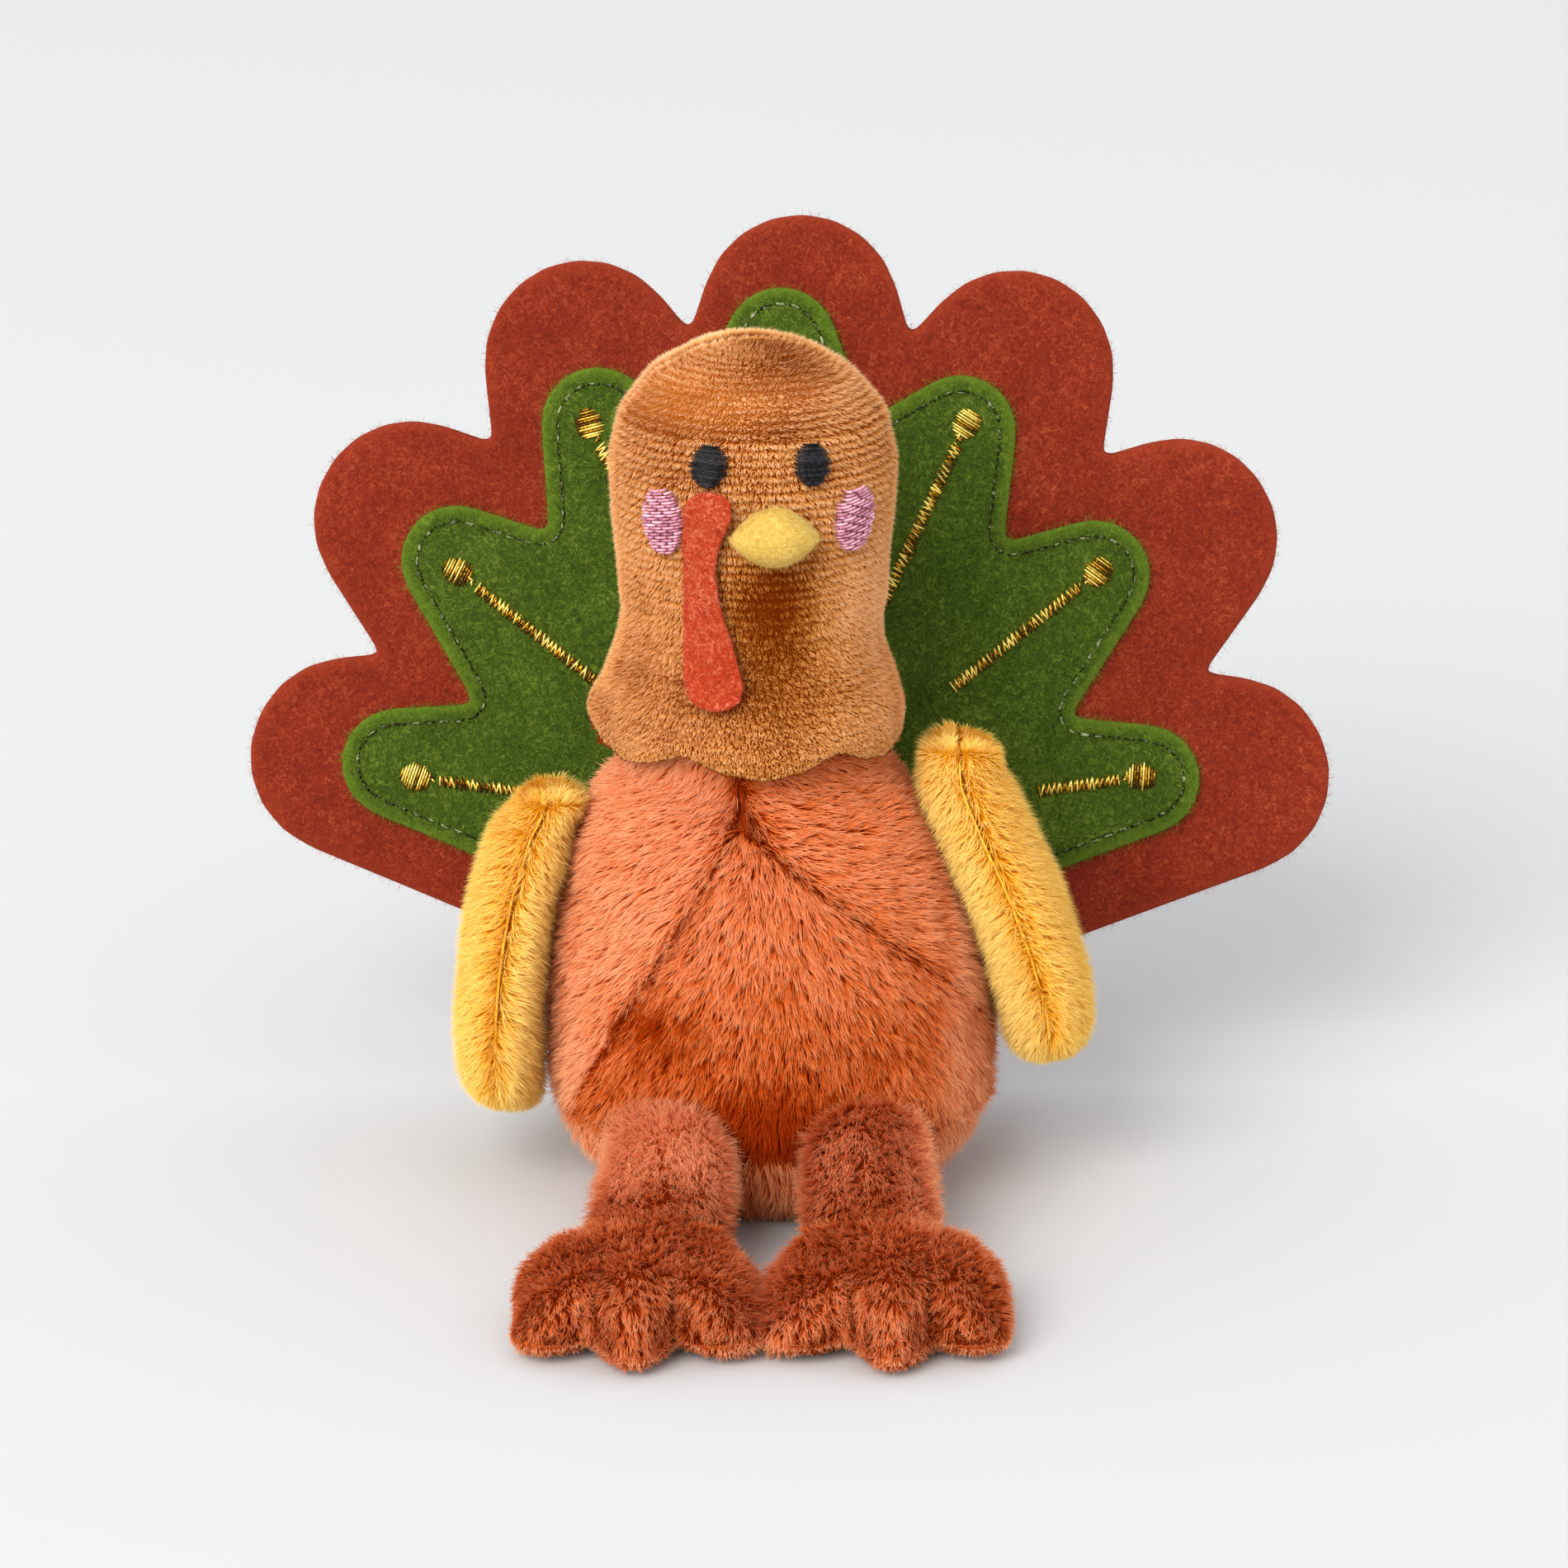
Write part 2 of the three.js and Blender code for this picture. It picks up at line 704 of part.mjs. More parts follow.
// A point of a leg, with its rim set in by one depth and its face by another. It starts at the body's front.
function legPoint(leg, u, v, side, rimInset, faceInset) {
  const middle = lerp(leg.hip, leg.foot, smoothstep(v, footRiseShare, footFullShare));
  const x = middle + (legHalf(v) - rimInset) * u;
  const z = legHeight(u, v, side, faceInset);
  const hipX = leg.hip + (legHalf(0) - rimInset) * u;
  const back = bodyFront(hipX, legHeight(u, 0, side, faceInset)) - gap;
  const setback = toeSetback * min(1, (toeCount * u) ** 2);
  const front = -footReach + rimInset + setback + toeNotch * (1 - toeWave(u));
  return new THREE.Vector3(x, lerp(back, front, v), z);
}
const legRows = [0, 0.12, 0.24, 0.35, 0.45, 0.54, 0.63, 0.75, 0.85, 0.94, 1];
function legPanel(leg, upper, thickness) {
  const surface = (u, v, depth) => legPoint(leg, 2 * u - 1, v, upper, depth, depth);
  return stack(
    legRows.map((v) => [
      ...steps(18).map((u) => surface(u, v, 0)),
      ...steps(18).reverse().map((u) => surface(u, v, thickness)),
    ]),
  );
}
function legStuffing(leg) {
  const upper = (u, v) => legPoint(leg, u, v, 1, legFillRim, legSkin + fillGap);
  const lower = (u, v) => legPoint(leg, u, v, -1, legFillRim, soleSkin + soleFillGap);
  return stack(
    legRows.map((v) => max(v, legFillShare)).map((v) => [
      ...steps(12).map((u) => upper(2 * u - 1, v)),
      ...steps(12).reverse().map((u) => lower(2 * u - 1, v)),
    ]),
  );
}

// A fan outline: round lobes joined by straight sides that meet in small rounded valleys, and a blunt point
// at the bottom. The tables run from the top lobe down the right side, and the left side mirrors them.
const polar = (distance, angle) =>
  new THREE.Vector2(distance * cos(degToRad(angle)), distance * sin(degToRad(angle)));

function bothSides(angles, distances) {
  const right = angles.map((angle, i) => polar(distances[i], angle));
  const left = angles.map((angle, i) => polar(distances[i], 180 - angle));
  return angles[0] === 90 ? [...right.reverse(), ...left.slice(1)] : [...right.reverse(), ...left];
}

// The direction of the tangent from a point to a circle, on its left (1) or right (-1) side.
function tangentPoint(from, centre, radius, hand) {
  const way = centre.clone().sub(from);
  const turn = hand * asin(min(1, radius / way.length()));
  const reach = sqrt(max(0, way.lengthSq() - radius * radius));
  return way.normalize().rotateAround(new THREE.Vector2(), turn).multiplyScalar(reach).add(from);
}

function fanShape({ lobes, valleys, lobe, point, pointRounding, valleyRound }) {
  const shape = new THREE.Shape();
  const stops = [point, ...valleys, point];
  const near = (corner, toward, distance) =>
    toward.clone().sub(corner).setLength(distance).add(corner);
  lobes.forEach((centre, i) => {
    const from = stops[i];
    const to = stops[i + 1];
    const enter = tangentPoint(from, centre, lobe, -1);
    const leave = tangentPoint(to, centre, lobe, 1);
    const rounding = (corner) => (corner === point ? pointRounding : valleyRound);
    const start = near(from, enter, rounding(from));
    if (i === 0) shape.moveTo(start.x, start.y);
    else shape.quadraticCurveTo(from.x, from.y, start.x, start.y);
    shape.lineTo(enter.x, enter.y);
    const angle = (p) => Math.atan2(p.y - centre.y, p.x - centre.x);
    shape.absarc(centre.x, centre.y, lobe, angle(enter), angle(leave), false);
    const stop = near(to, leave, rounding(to));
    shape.lineTo(stop.x, stop.y);
    if (i === lobes.length - 1) {
      const first = near(point, tangentPoint(point, lobes[0], lobe, -1), pointRounding);
      shape.quadraticCurveTo(point.x, point.y, first.x, first.y);
    }
  });
  return shape;
}

const scaled = (shares, size) => shares.map((share) => share * size);

function rustOutline() {
  return fanShape({
    lobes: bothSides(tailLobeAngles, scaled(tailLobeShares, tailRadius)),
    valleys: bothSides(tailValleyAngles, scaled(tailValleyShares, tailRadius)),
    lobe: tailLobe,
    point: new THREE.Vector2(0, -tailPoint),
    pointRounding: tailPointRounding,
    valleyRound: valleyRounding,
  });
}

// The green outline, or a line that runs a distance inside it.
function greenOutline(inset) {
  const outline = fanShape({
    lobes: bothSides(greenLobeAngles, scaled(greenLobeShares, greenRadius)),
    valleys: bothSides(greenValleyAngles, scaled(greenValleyShares, greenRadius).map((d) => d - inset)),
    lobe: greenLobe - inset,
    point: new THREE.Vector2(0, -greenPoint + inset),
    pointRounding: tailPointRounding,
    valleyRound: valleyRounding,
  });
  const moved = outline.getPoints(4).map((p) => p.add(new THREE.Vector2(greenShift, 0)));
  return moved;
}

const tail = new THREE.Group();
tail.position.set(tailCentreX, tailBehind, tailCentreHeight);
tail.rotation.x = PI / 2 - tailTilt;
tail.rotation.z = degToRad(tailTurnAngle);

// Adds a flat piece to the tail, with its back face at a distance in front of the tail's own plane.
function tailPiece(name, shape, back, thickness, color, roughness, metalness) {
  const geometry = new THREE.ExtrudeGeometry(shape, {
    depth: thickness,
    bevelEnabled: false,
    curveSegments: 4,
  });
  const mesh = piece(name, geometry, color, roughness, metalness);
  mesh.position.z = back;
  tail.add(mesh);
}

function buildTail() {
  const outline = rustOutline();
  const green0 = -feltSheet;
  const front = green0 - gap - feltSheet;
  const middle = front - gap - interlining;
  const back = middle - gap - feltSheet;
  tailPiece("tail_green_applique", new THREE.Shape(greenOutline(0)), green0, feltSheet, green);
  tailPiece("tail_rust_front", outline, front, feltSheet, rust);
  tailPiece("tail_interlining", new THREE.Shape(greenOutline(0)), middle, interlining, white);
  tailPiece("tail_rust_back", outline, back, feltSheet, rust);
  const stitches = new THREE.Shape(greenOutline(stitchInset));
  stitches.holes.push(new THREE.Path(greenOutline(stitchInset + stitchThread)));
  tailPiece("tail_stitch_thread", stitches, gap, stitchThread, green, 0.5);
  goldMarks().forEach((mark, i) =>
    tailPiece("tail_gold_embroidery_" + (i + 1), mark, gap, goldThickness, goldThread, 0.35, 0.8),
  );
}

// Each gold mark is a satin column with a round dot past its end, joined by a short thread.
function goldMarks() {
  const dots = bothSides(goldAngles, scaled(goldDotShares, greenRadius));
  const starts = bothSides(goldAngles, scaled(goldStartShares, greenRadius));
  const shift = new THREE.Vector2(goldShift, 0);
  const centre = new THREE.Vector2();
  return dots.map((dot, i) => {
    const start = starts[i];
    const length = dot.distanceTo(start) - goldDot / 2 - goldLink;
    const half = goldLineWidth / 2;
    const link = goldLinkWidth / 2;
    const dotEdge = asin(link / (goldDot / 2));
    const mark = new THREE.Shape();
    mark.absarc(half, 0, half, PI / 2, PI * 1.5, false);
    mark.lineTo(length, -half);
    mark.lineTo(length, -link);
    const middle = length + goldLink + goldDot / 2;
    mark.absarc(middle, 0, goldDot / 2, PI + dotEdge, 3 * PI - dotEdge, false);
    mark.lineTo(length, link);
    mark.lineTo(length, half);
    const turn = Math.atan2(dot.y - start.y, dot.x - start.x);
    const points = mark.getPoints(5).map((p) =>
      p.rotateAround(centre, turn).add(start).rotateAround(centre, degToRad(goldTurnAngle)).add(shift),
    );
    return new THREE.Shape(points);
  });
}

function buildBody() {
  piece("body_belly_panel", bellyPanel(), coral);
  piece("body_left_panel", bodySidePanel(-1), coral);
  piece("body_right_panel", bodySidePanel(1), coral);
  piece("body_base_panel", basePanel(), coral);
  piece("body_stuffing", bodyStuffing(), white);
  piece("pellet_bag", pelletBag(), white);
  piece("pellet_fill", pelletFill(), white, 0.6);
}

function buildHead() {
  piece("head_front_panel", headPanel(-1), caramel);
  piece("head_back_panel", headPanel(1), caramel);
  piece("head_stuffing", headStuffing(), white);
  const eyes = beakHeight + eyeAboveBeak;
  const blush = beakHeight + blushAboveBeak;
  for (const [name, side] of [["left", -1], ["right", 1]]) {
    piece("eye_" + name, satinPatch(side * eyeAngle, eyes, eyeWidth, eyeHeight), 0x1b1b1c, 0.4);
    piece("cheek_" + name, satinPatch(side * blushAngle, blush, blushWidth, blushHeight), 0xd795c4, 0.5);
  }
  piece("beak_upper", beakPanel(beakRise), 0xf2dc4b);
  piece("beak_lower", beakPanel(-beakDrop), 0xf2dc4b);
  piece("beak_stuffing", beakStuffing(), white);
  piece("snood", snoodStrip(), 0xde5433);
}

function buildLimbs() {
  for (const [name, wing] of Object.entries(wings)) {
    piece("wing_" + name + "_outer_panel", wingPanel(wing, 1), yellow);
    piece("wing_" + name + "_inner_panel", wingPanel(wing, -1), yellow);
    piece("wing_" + name + "_stuffing", wingStuffing(wing), white);
  }
  for (const [name, leg] of Object.entries(legs)) {
    piece("leg_" + name + "_upper_panel", legPanel(leg, 1, legSkin), brown);
    piece("leg_" + name + "_sole_panel", legPanel(leg, -1, soleSkin), brown);
    piece("leg_" + name + "_stuffing", legStuffing(leg), white);
  }
}

buildTail();
turkey.add(tail);
buildBody();
buildHead();
buildLimbs();

export default turkey;
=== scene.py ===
# %% [markdown]
# # A plush turkey, dressed in plush, felt and thread
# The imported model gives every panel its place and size. This lesson dresses it: pile grows out of the plush
# panels, felt gets its loose fibres, and the embroidery is laid thread by thread.

# %% Load the frame
from math import asin, cos, hypot, pi, radians, sin, sqrt

import bmesh
import bpy
import numpy as np
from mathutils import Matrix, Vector
from mathutils.bvhtree import BVHTree
from mathutils.geometry import delaunay_2d_cdt
from mathutils.kdtree import KDTree


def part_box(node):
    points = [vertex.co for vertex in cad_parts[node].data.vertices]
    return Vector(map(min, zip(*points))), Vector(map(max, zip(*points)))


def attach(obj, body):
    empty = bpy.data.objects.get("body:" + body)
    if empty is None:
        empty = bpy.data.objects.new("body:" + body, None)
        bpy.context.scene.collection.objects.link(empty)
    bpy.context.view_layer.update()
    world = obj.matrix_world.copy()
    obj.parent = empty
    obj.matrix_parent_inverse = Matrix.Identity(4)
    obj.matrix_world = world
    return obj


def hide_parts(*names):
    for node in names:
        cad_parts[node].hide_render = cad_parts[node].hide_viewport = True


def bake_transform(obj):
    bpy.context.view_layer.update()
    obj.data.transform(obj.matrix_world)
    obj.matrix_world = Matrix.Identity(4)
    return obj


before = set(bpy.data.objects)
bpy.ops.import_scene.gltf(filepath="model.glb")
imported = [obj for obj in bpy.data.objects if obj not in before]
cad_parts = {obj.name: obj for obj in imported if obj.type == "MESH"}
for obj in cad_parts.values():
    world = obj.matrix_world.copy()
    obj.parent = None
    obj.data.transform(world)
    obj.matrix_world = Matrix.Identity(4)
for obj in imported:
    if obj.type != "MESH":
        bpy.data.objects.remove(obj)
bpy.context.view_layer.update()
scene = bpy.context.scene
MM = 0.001
print("CAD pieces:", len(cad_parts))

# %% [markdown]
# Small helpers come first. A colour is written as people write it, in sRGB hex, and Blender mixes light in
# linear numbers, so one function turns one into the other. Another adds a node with its settings and links,
# and serves materials and geometry alike.

# %% Helpers for colours and nodes
def colour(code):
    channels = [int(code[i:i + 2], 16) / 255 for i in (1, 3, 5)]
    linear = [c / 12.92 if c <= 0.04045 else ((c + 0.055) / 1.055) ** 2.4 for c in channels]
    return (*linear, 1.0)


def fill(tree, node, inputs):
    """Fills a node's inputs with values or links. A node given as a value stands for its first output."""
    for key, value in inputs.items():
        if isinstance(value, bpy.types.Node):
            value = value.outputs[0]
        if isinstance(value, bpy.types.NodeSocket):
            tree.links.new(value, node.inputs[key])
        else:
            node.inputs[key].default_value = value
    return node


def add(tree, kind, inputs=None, **settings):
    """Adds a node, sets its properties and fills its inputs."""
    node = tree.nodes.new(kind)
    for key, value in settings.items():
        setattr(node, key, value)
    return fill(tree, node, inputs or {})


def maths(tree, operation, *values):
    return add(tree, "ShaderNodeMath", dict(enumerate(values)), operation=operation).outputs[0]


def product(tree, first, *others):
    for other in others:
        first = maths(tree, "MULTIPLY", first, other)
    return first


def weigh_in(tree, level, *parts):
    """Adds parts to a level, each times its weight."""
    for part, weight in parts:
        level = maths(tree, "MULTIPLY_ADD", part, weight, level)
    return level


def vectors(tree, operation, first, *others):
    """Sums, differences or scalings of vectors, taken one after the other."""
    for other in others:
        slot = "Scale" if operation == "SCALE" else 1
        first = add(tree, "ShaderNodeVectorMath", {0: first, slot: other}, operation=operation).outputs[0]
    return first


def new_material(name):
    material = bpy.data.materials.new(name)
    material.use_nodes = True
    return material, material.node_tree, material.node_tree.nodes["Principled BSDF"]


def carried(tree, *names):
    """Numbers that a mesh carries, read in a material."""
    return [add(tree, "ShaderNodeAttribute", attribute_name=name).outputs["Fac"] for name in names]


def noise(tree, grain_mm, detail, **more):
    """Patches of about one size, fixed to the piece that has the material."""
    place = add(tree, "ShaderNodeTexCoord").outputs["Object"]
    inputs = {"Vector": place, "Scale": 1 / (grain_mm * MM), "Detail": detail, **more}
    return add(tree, "ShaderNodeTexNoise", inputs)


def ramp(tree, level, *stops):
    """A colour ramp read at a level. Its stops are pairs of place and hex colour."""
    node = add(tree, "ShaderNodeValToRGB", {"Fac": level})
    band = node.color_ramp
    while len(band.elements) < len(stops):
        band.elements.new(1.0)
    for element, (place, code) in zip(band.elements, stops):
        element.position = place
        element.color = colour(code)
    return node.outputs["Color"]


def new_tree(name, **inputs):
    """A geometry tree with one geometry in, one out, and inputs of the same kinds as their first values."""
    kinds = {float: "Float", int: "Int", bool: "Bool", type(None): "Material"}
    tree = bpy.data.node_groups.new(name, "GeometryNodeTree")
    tree.interface.new_socket("Geometry", in_out="INPUT", socket_type="NodeSocketGeometry")
    tree.interface.new_socket("Geometry", in_out="OUTPUT", socket_type="NodeSocketGeometry")
    for label, value in inputs.items():
        kind = "NodeSocket" + kinds[type(value)]
        socket = tree.interface.new_socket(label, in_out="INPUT", socket_type=kind)
        if value is not None:
            socket.default_value = value
    return tree, add(tree, "NodeGroupInput").outputs, add(tree, "NodeGroupOutput").inputs


def read(tree, name, kind="FLOAT"):
    """A number or direction that a mesh carries, read in a geometry tree."""
    return add(tree, "GeometryNodeInputNamedAttribute", {"Name": name}, data_type=kind).outputs["Attribute"]


def note(tree, geometry, name, value):
    """Writes a number on every point of a geometry."""
    return add(tree, "GeometryNodeStoreNamedAttribute", {"Geometry": geometry, "Name": name, "Value": value},
               data_type="FLOAT", domain="POINT")


def dressed(tree, out, geometry, material):
    """The end of a tree: the geometry gets its material and smooth shading, and is handed out."""
    dyed = add(tree, "GeometryNodeSetMaterial", {"Geometry": geometry, "Material": material})
    smooth = add(tree, "GeometryNodeSetShadeSmooth", {"Geometry": dyed})
    tree.links.new(smooth.outputs[0], out[0])
    return tree


print("node helpers ready")

# %% [markdown]
# The next helpers make objects, move their points, and write numbers on the points for the trees and the
# materials to read. A modifier is always settled at once, so that every piece ends as a plain mesh.

# %% Helpers for meshes
def placed(name, data):
    """A new object in the scene."""
    made = bpy.data.objects.new(name, data)
    scene.collection.objects.link(made)
    return made


def mesh_object(name, points, faces, edges=()):
    mesh = bpy.data.meshes.new(name)
    mesh.from_pydata([tuple(p) for p in points], edges, [tuple(f) for f in faces])
    mesh.validate()
    return placed(name, mesh)


def places(mesh):
    flat = np.empty(len(mesh.vertices) * 3)
    mesh.vertices.foreach_get("co", flat)
    return flat.reshape(-1, 3)


def move_to(mesh, points):
    mesh.vertices.foreach_set("co", np.asarray(points, float).ravel())
    mesh.update()


def normals_of(mesh):
    flat = np.empty(len(mesh.vertices) * 3, np.float32)
    mesh.vertices.foreach_get("normal", flat)
    return flat.reshape(-1, 3).astype(float)


def write_attribute(mesh, name, values):
    values = np.asarray(values, float)
    kind = "FLOAT_VECTOR" if values.ndim == 2 else "FLOAT"
    layer = mesh.attributes.get(name) or mesh.attributes.new(name, kind, "POINT")
    layer.data.foreach_set("vector" if values.ndim == 2 else "value", values.ravel())


def marked(mesh, name):
    """Which points carry a mark."""
    marks = np.empty(len(mesh.vertices))
    mesh.attributes[name].data.foreach_get("value", marks)
    return marks > 0.5


def settle(made):
    """Turns an object and its modifiers into a plain mesh of the same name."""
    graph = bpy.context.evaluated_depsgraph_get()
    mesh = bpy.data.meshes.new_from_object(
        made.evaluated_get(graph), preserve_all_data_layers=True, depsgraph=graph)
    made.modifiers.clear()
    old = made.data
    made.data = mesh
    bpy.data.meshes.remove(old)
    mesh.name = made.name
    return made


def run_tree(made, tree, **values):
    """Runs a geometry tree on an object. The values are matched to the tree's inputs by their names."""
    modifier = made.modifiers.new(tree.name, "NODES")
    modifier.node_group = tree
    for item in tree.interface.items_tree:
        if item.item_type == "SOCKET" and item.in_out == "INPUT" and item.name in values:
            modifier[item.identifier] = values[item.name]
    return settle(made)


def triangles(made):
    return sum(len(p.vertices) - 2 for p in made.data.polygons)


def take_part(made, slot, body=None, node=None):
    """Hides the CAD node that a new piece replaces, hangs the piece on what moves it, and prints its
    triangles. Its material slot is not used.
    """
    if node:
        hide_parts(node)
    if body:
        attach(made, body)
    print(made.name, triangles(made), "triangles")


print("mesh helpers ready")

# %% [markdown]
# The photograph is taken from a metre away with a long lens, 18 degrees above the table, so the toy fills
# the frame with little perspective. The whole background is one pale table. A large soft light stands at
# the front left, and the room fills the shadows.

# %% Camera, light and table
CAMERA_HEIGHT = radians(18)
CAMERA_AWAY = 1.0
CAMERA_AIM = Vector((0.002, 0.0, 0.066))
FRAME_PIXELS = 1900
FOCAL_PIXELS = 7500
KEY_PLACE = (-2.6, -4.4, 3.5)
KEY_SIZE = 4.4
KEY_POWER = 395
ROOM_STRENGTH = 1.12
TABLE_REACH = 6.0

camera_data = bpy.data.cameras.new("camera")
camera_data.lens = FOCAL_PIXELS / FRAME_PIXELS * camera_data.sensor_width
camera = placed("camera", camera_data)
camera.location = CAMERA_AIM + CAMERA_AWAY * Vector((0, -cos(CAMERA_HEIGHT), sin(CAMERA_HEIGHT)))
camera.rotation_euler = (pi / 2 - CAMERA_HEIGHT, 0, 0)
scene.camera = camera
scene.view_settings.view_transform = "Standard"

lamp = bpy.data.lights.new("key_light", "AREA")
lamp.shape = "DISK"
lamp.size = KEY_SIZE
lamp.energy = KEY_POWER
lamp.color = colour("#FFFCF7")[:3]
key_light = placed("key_light", lamp)
key_light.location = KEY_PLACE
key_light.rotation_euler = (CAMERA_AIM - Vector(KEY_PLACE)).to_track_quat("-Z", "Y").to_euler()

world = bpy.data.worlds.new("studio")
world.use_nodes = True
scene.world = world
room = world.node_tree.nodes["Background"]
fill(world.node_tree, room, {"Color": colour("#FBFBFC"), "Strength": ROOM_STRENGTH})

floor_paper, tree, paper = new_material("matt_white_paper")
fill(tree, paper, {"Base Color": colour("#C5C7C8"), "Roughness": 0.9, "Specular IOR Level": 0.1})
corners = [(x * TABLE_REACH, y * TABLE_REACH, 0) for x, y in ((-1, -1), (1, -1), (1, 1), (-1, 1))]
floor = mesh_object("floor", corners, [(0, 1, 2, 3)])
floor.data.materials.append(floor_paper)
print("lens", round(camera_data.lens, 1), "mm")

# %% [markdown]
# Plush is a knitted backing with thousands of cut fibres standing out of it. Its colour changes from root to
# tip: light sinks in between the fibres, and the tips catch it. So each fibre carries numbers that its
# material reads, such as how far along it a point is, a chance value of its own, and one that it shares with
# the lock of fibres around it.

# %% Plush materials
LOT_WEIGHT = 0.14
LOCK_WEIGHT = 0.28


def plush(name, deep, root, body, tip, patch_mm, patch_depth):
    material, tree, shader = new_material(name)
    along, lot, lock, rib, seam, nap = carried(tree, "tip", "lot", "lock", "rib", "seam", "nap")
    # The part that is the same all over is taken off again, so that the ramp stays where its stops say.
    start = -(0.07 + LOT_WEIGHT + patch_depth / 2)
    level = maths(tree, "MULTIPLY_ADD", lot, LOT_WEIGHT, start)
    # The rib number paints the longer rows paler, a painted highlight on their crests. The seam number darkens
    # the pile along its seams, a painted shade in their creases. The nap number holds the brushed nap together
    # with painted shade, which lowers the level, and painted light, which raises it. The deep stop shows
    # mostly where painted shade pulls the level down.
    level = weigh_in(tree, level, (lock, LOCK_WEIGHT), (noise(tree, patch_mm, 2.0), patch_depth), (rib, 0.9),
                     (seam, -0.2), (nap, 1.0), (along, 0.9))
    shade = ramp(tree, level, (0.0, deep), (0.2, root), (0.45, body), (1.0, tip))
    # Light passes through a fibre as well as off it, so the pile glows where it is lit from behind and its
    # shadows stay warm. A little less than half of the shader lets it through.
    glow = add(tree, "ShaderNodeBsdfTranslucent", {"Color": shade})
    both = add(tree, "ShaderNodeMixShader", {"Fac": 0.45, 1: shader, 2: glow})
    fill(tree, tree.nodes["Material Output"], {"Surface": both})
    fill(tree, shader, {"Base Color": shade, "Roughness": 0.8, "Specular IOR Level": 0.03,
                        "Sheen Weight": 0.03, "Sheen Roughness": 0.4, "Sheen Tint": colour(tip)})
    return material


coral_plush = plush("coral_long_pile_plush", "#B03C05", "#DA651E", "#ED8C4C", "#F9BA8C", 9, 0.35)
caramel_plush = plush("caramel_minky_plush", "#963E04", "#D27E28", "#F4B65C", "#FFDEAE", 14, 0.3)
yellow_plush = plush("yellow_long_pile_plush", "#DC900C", "#EFA91A", "#FBCC48", "#FFE88E", 8, 0.2)
brown_plush = plush("brown_curly_plush", "#983206", "#CA571C", "#E68044", "#FCC092", 9, 0.4)
print("plush materials:", coral_plush.name, caramel_plush.name, yellow_plush.name, brown_plush.name)

# %% [markdown]
# A pile of fibres could be a hair system, a texture, or real strips of geometry. Strips are chosen because
# they keep their shape in any program. One strip is a grid two points wide, bent into an arc and narrowed to
# a tip. Geometry Nodes scatters copies over the cloth, leans them the way the cloth was combed, and pulls
# neighbours together into locks.

# %% The pile tree
def parts_of(tree, vector):
    return add(tree, "ShaderNodeSeparateXYZ", {0: vector}).outputs


def from_parts(tree, x, y, z):
    return add(tree, "ShaderNodeCombineXYZ", {0: x, 1: y, 2: z})


def one_fibre(tree, given):
    """A strip one unit long and wide, which each copy scales to its own size."""
    joints = {"Size X": 1.0, "Size Y": 1.0, "Vertices X": 2, "Vertices Y": given["joints"]}
    grid = add(tree, "GeometryNodeMeshGrid", joints)
    at = parts_of(tree, add(tree, "GeometryNodeInputPosition"))
    along = maths(tree, "ADD", at["Y"], 0.5)
    turn = maths(tree, "MULTIPLY", along, given["bend"])
    away = maths(tree, "SUBTRACT", 1.0, maths(tree, "COSINE", turn))
    narrow = maths(tree, "SUBTRACT", 1.0, maths(tree, "POWER", along, 1.7))
    forward = maths(tree, "DIVIDE", away, given["bend"])
    upward = maths(tree, "DIVIDE", maths(tree, "SINE", turn), given["bend"])
    arc = from_parts(tree, forward, maths(tree, "MULTIPLY", at["X"], narrow), upward)
    strip = note(tree, grid, "tip", along)
    shaped = add(tree, "GeometryNodeSetPosition", {"Geometry": strip, "Position": arc})
    return add(tree, "GeometryNodeMergeByDistance", {"Geometry": shaped, "Distance": 0.0001})


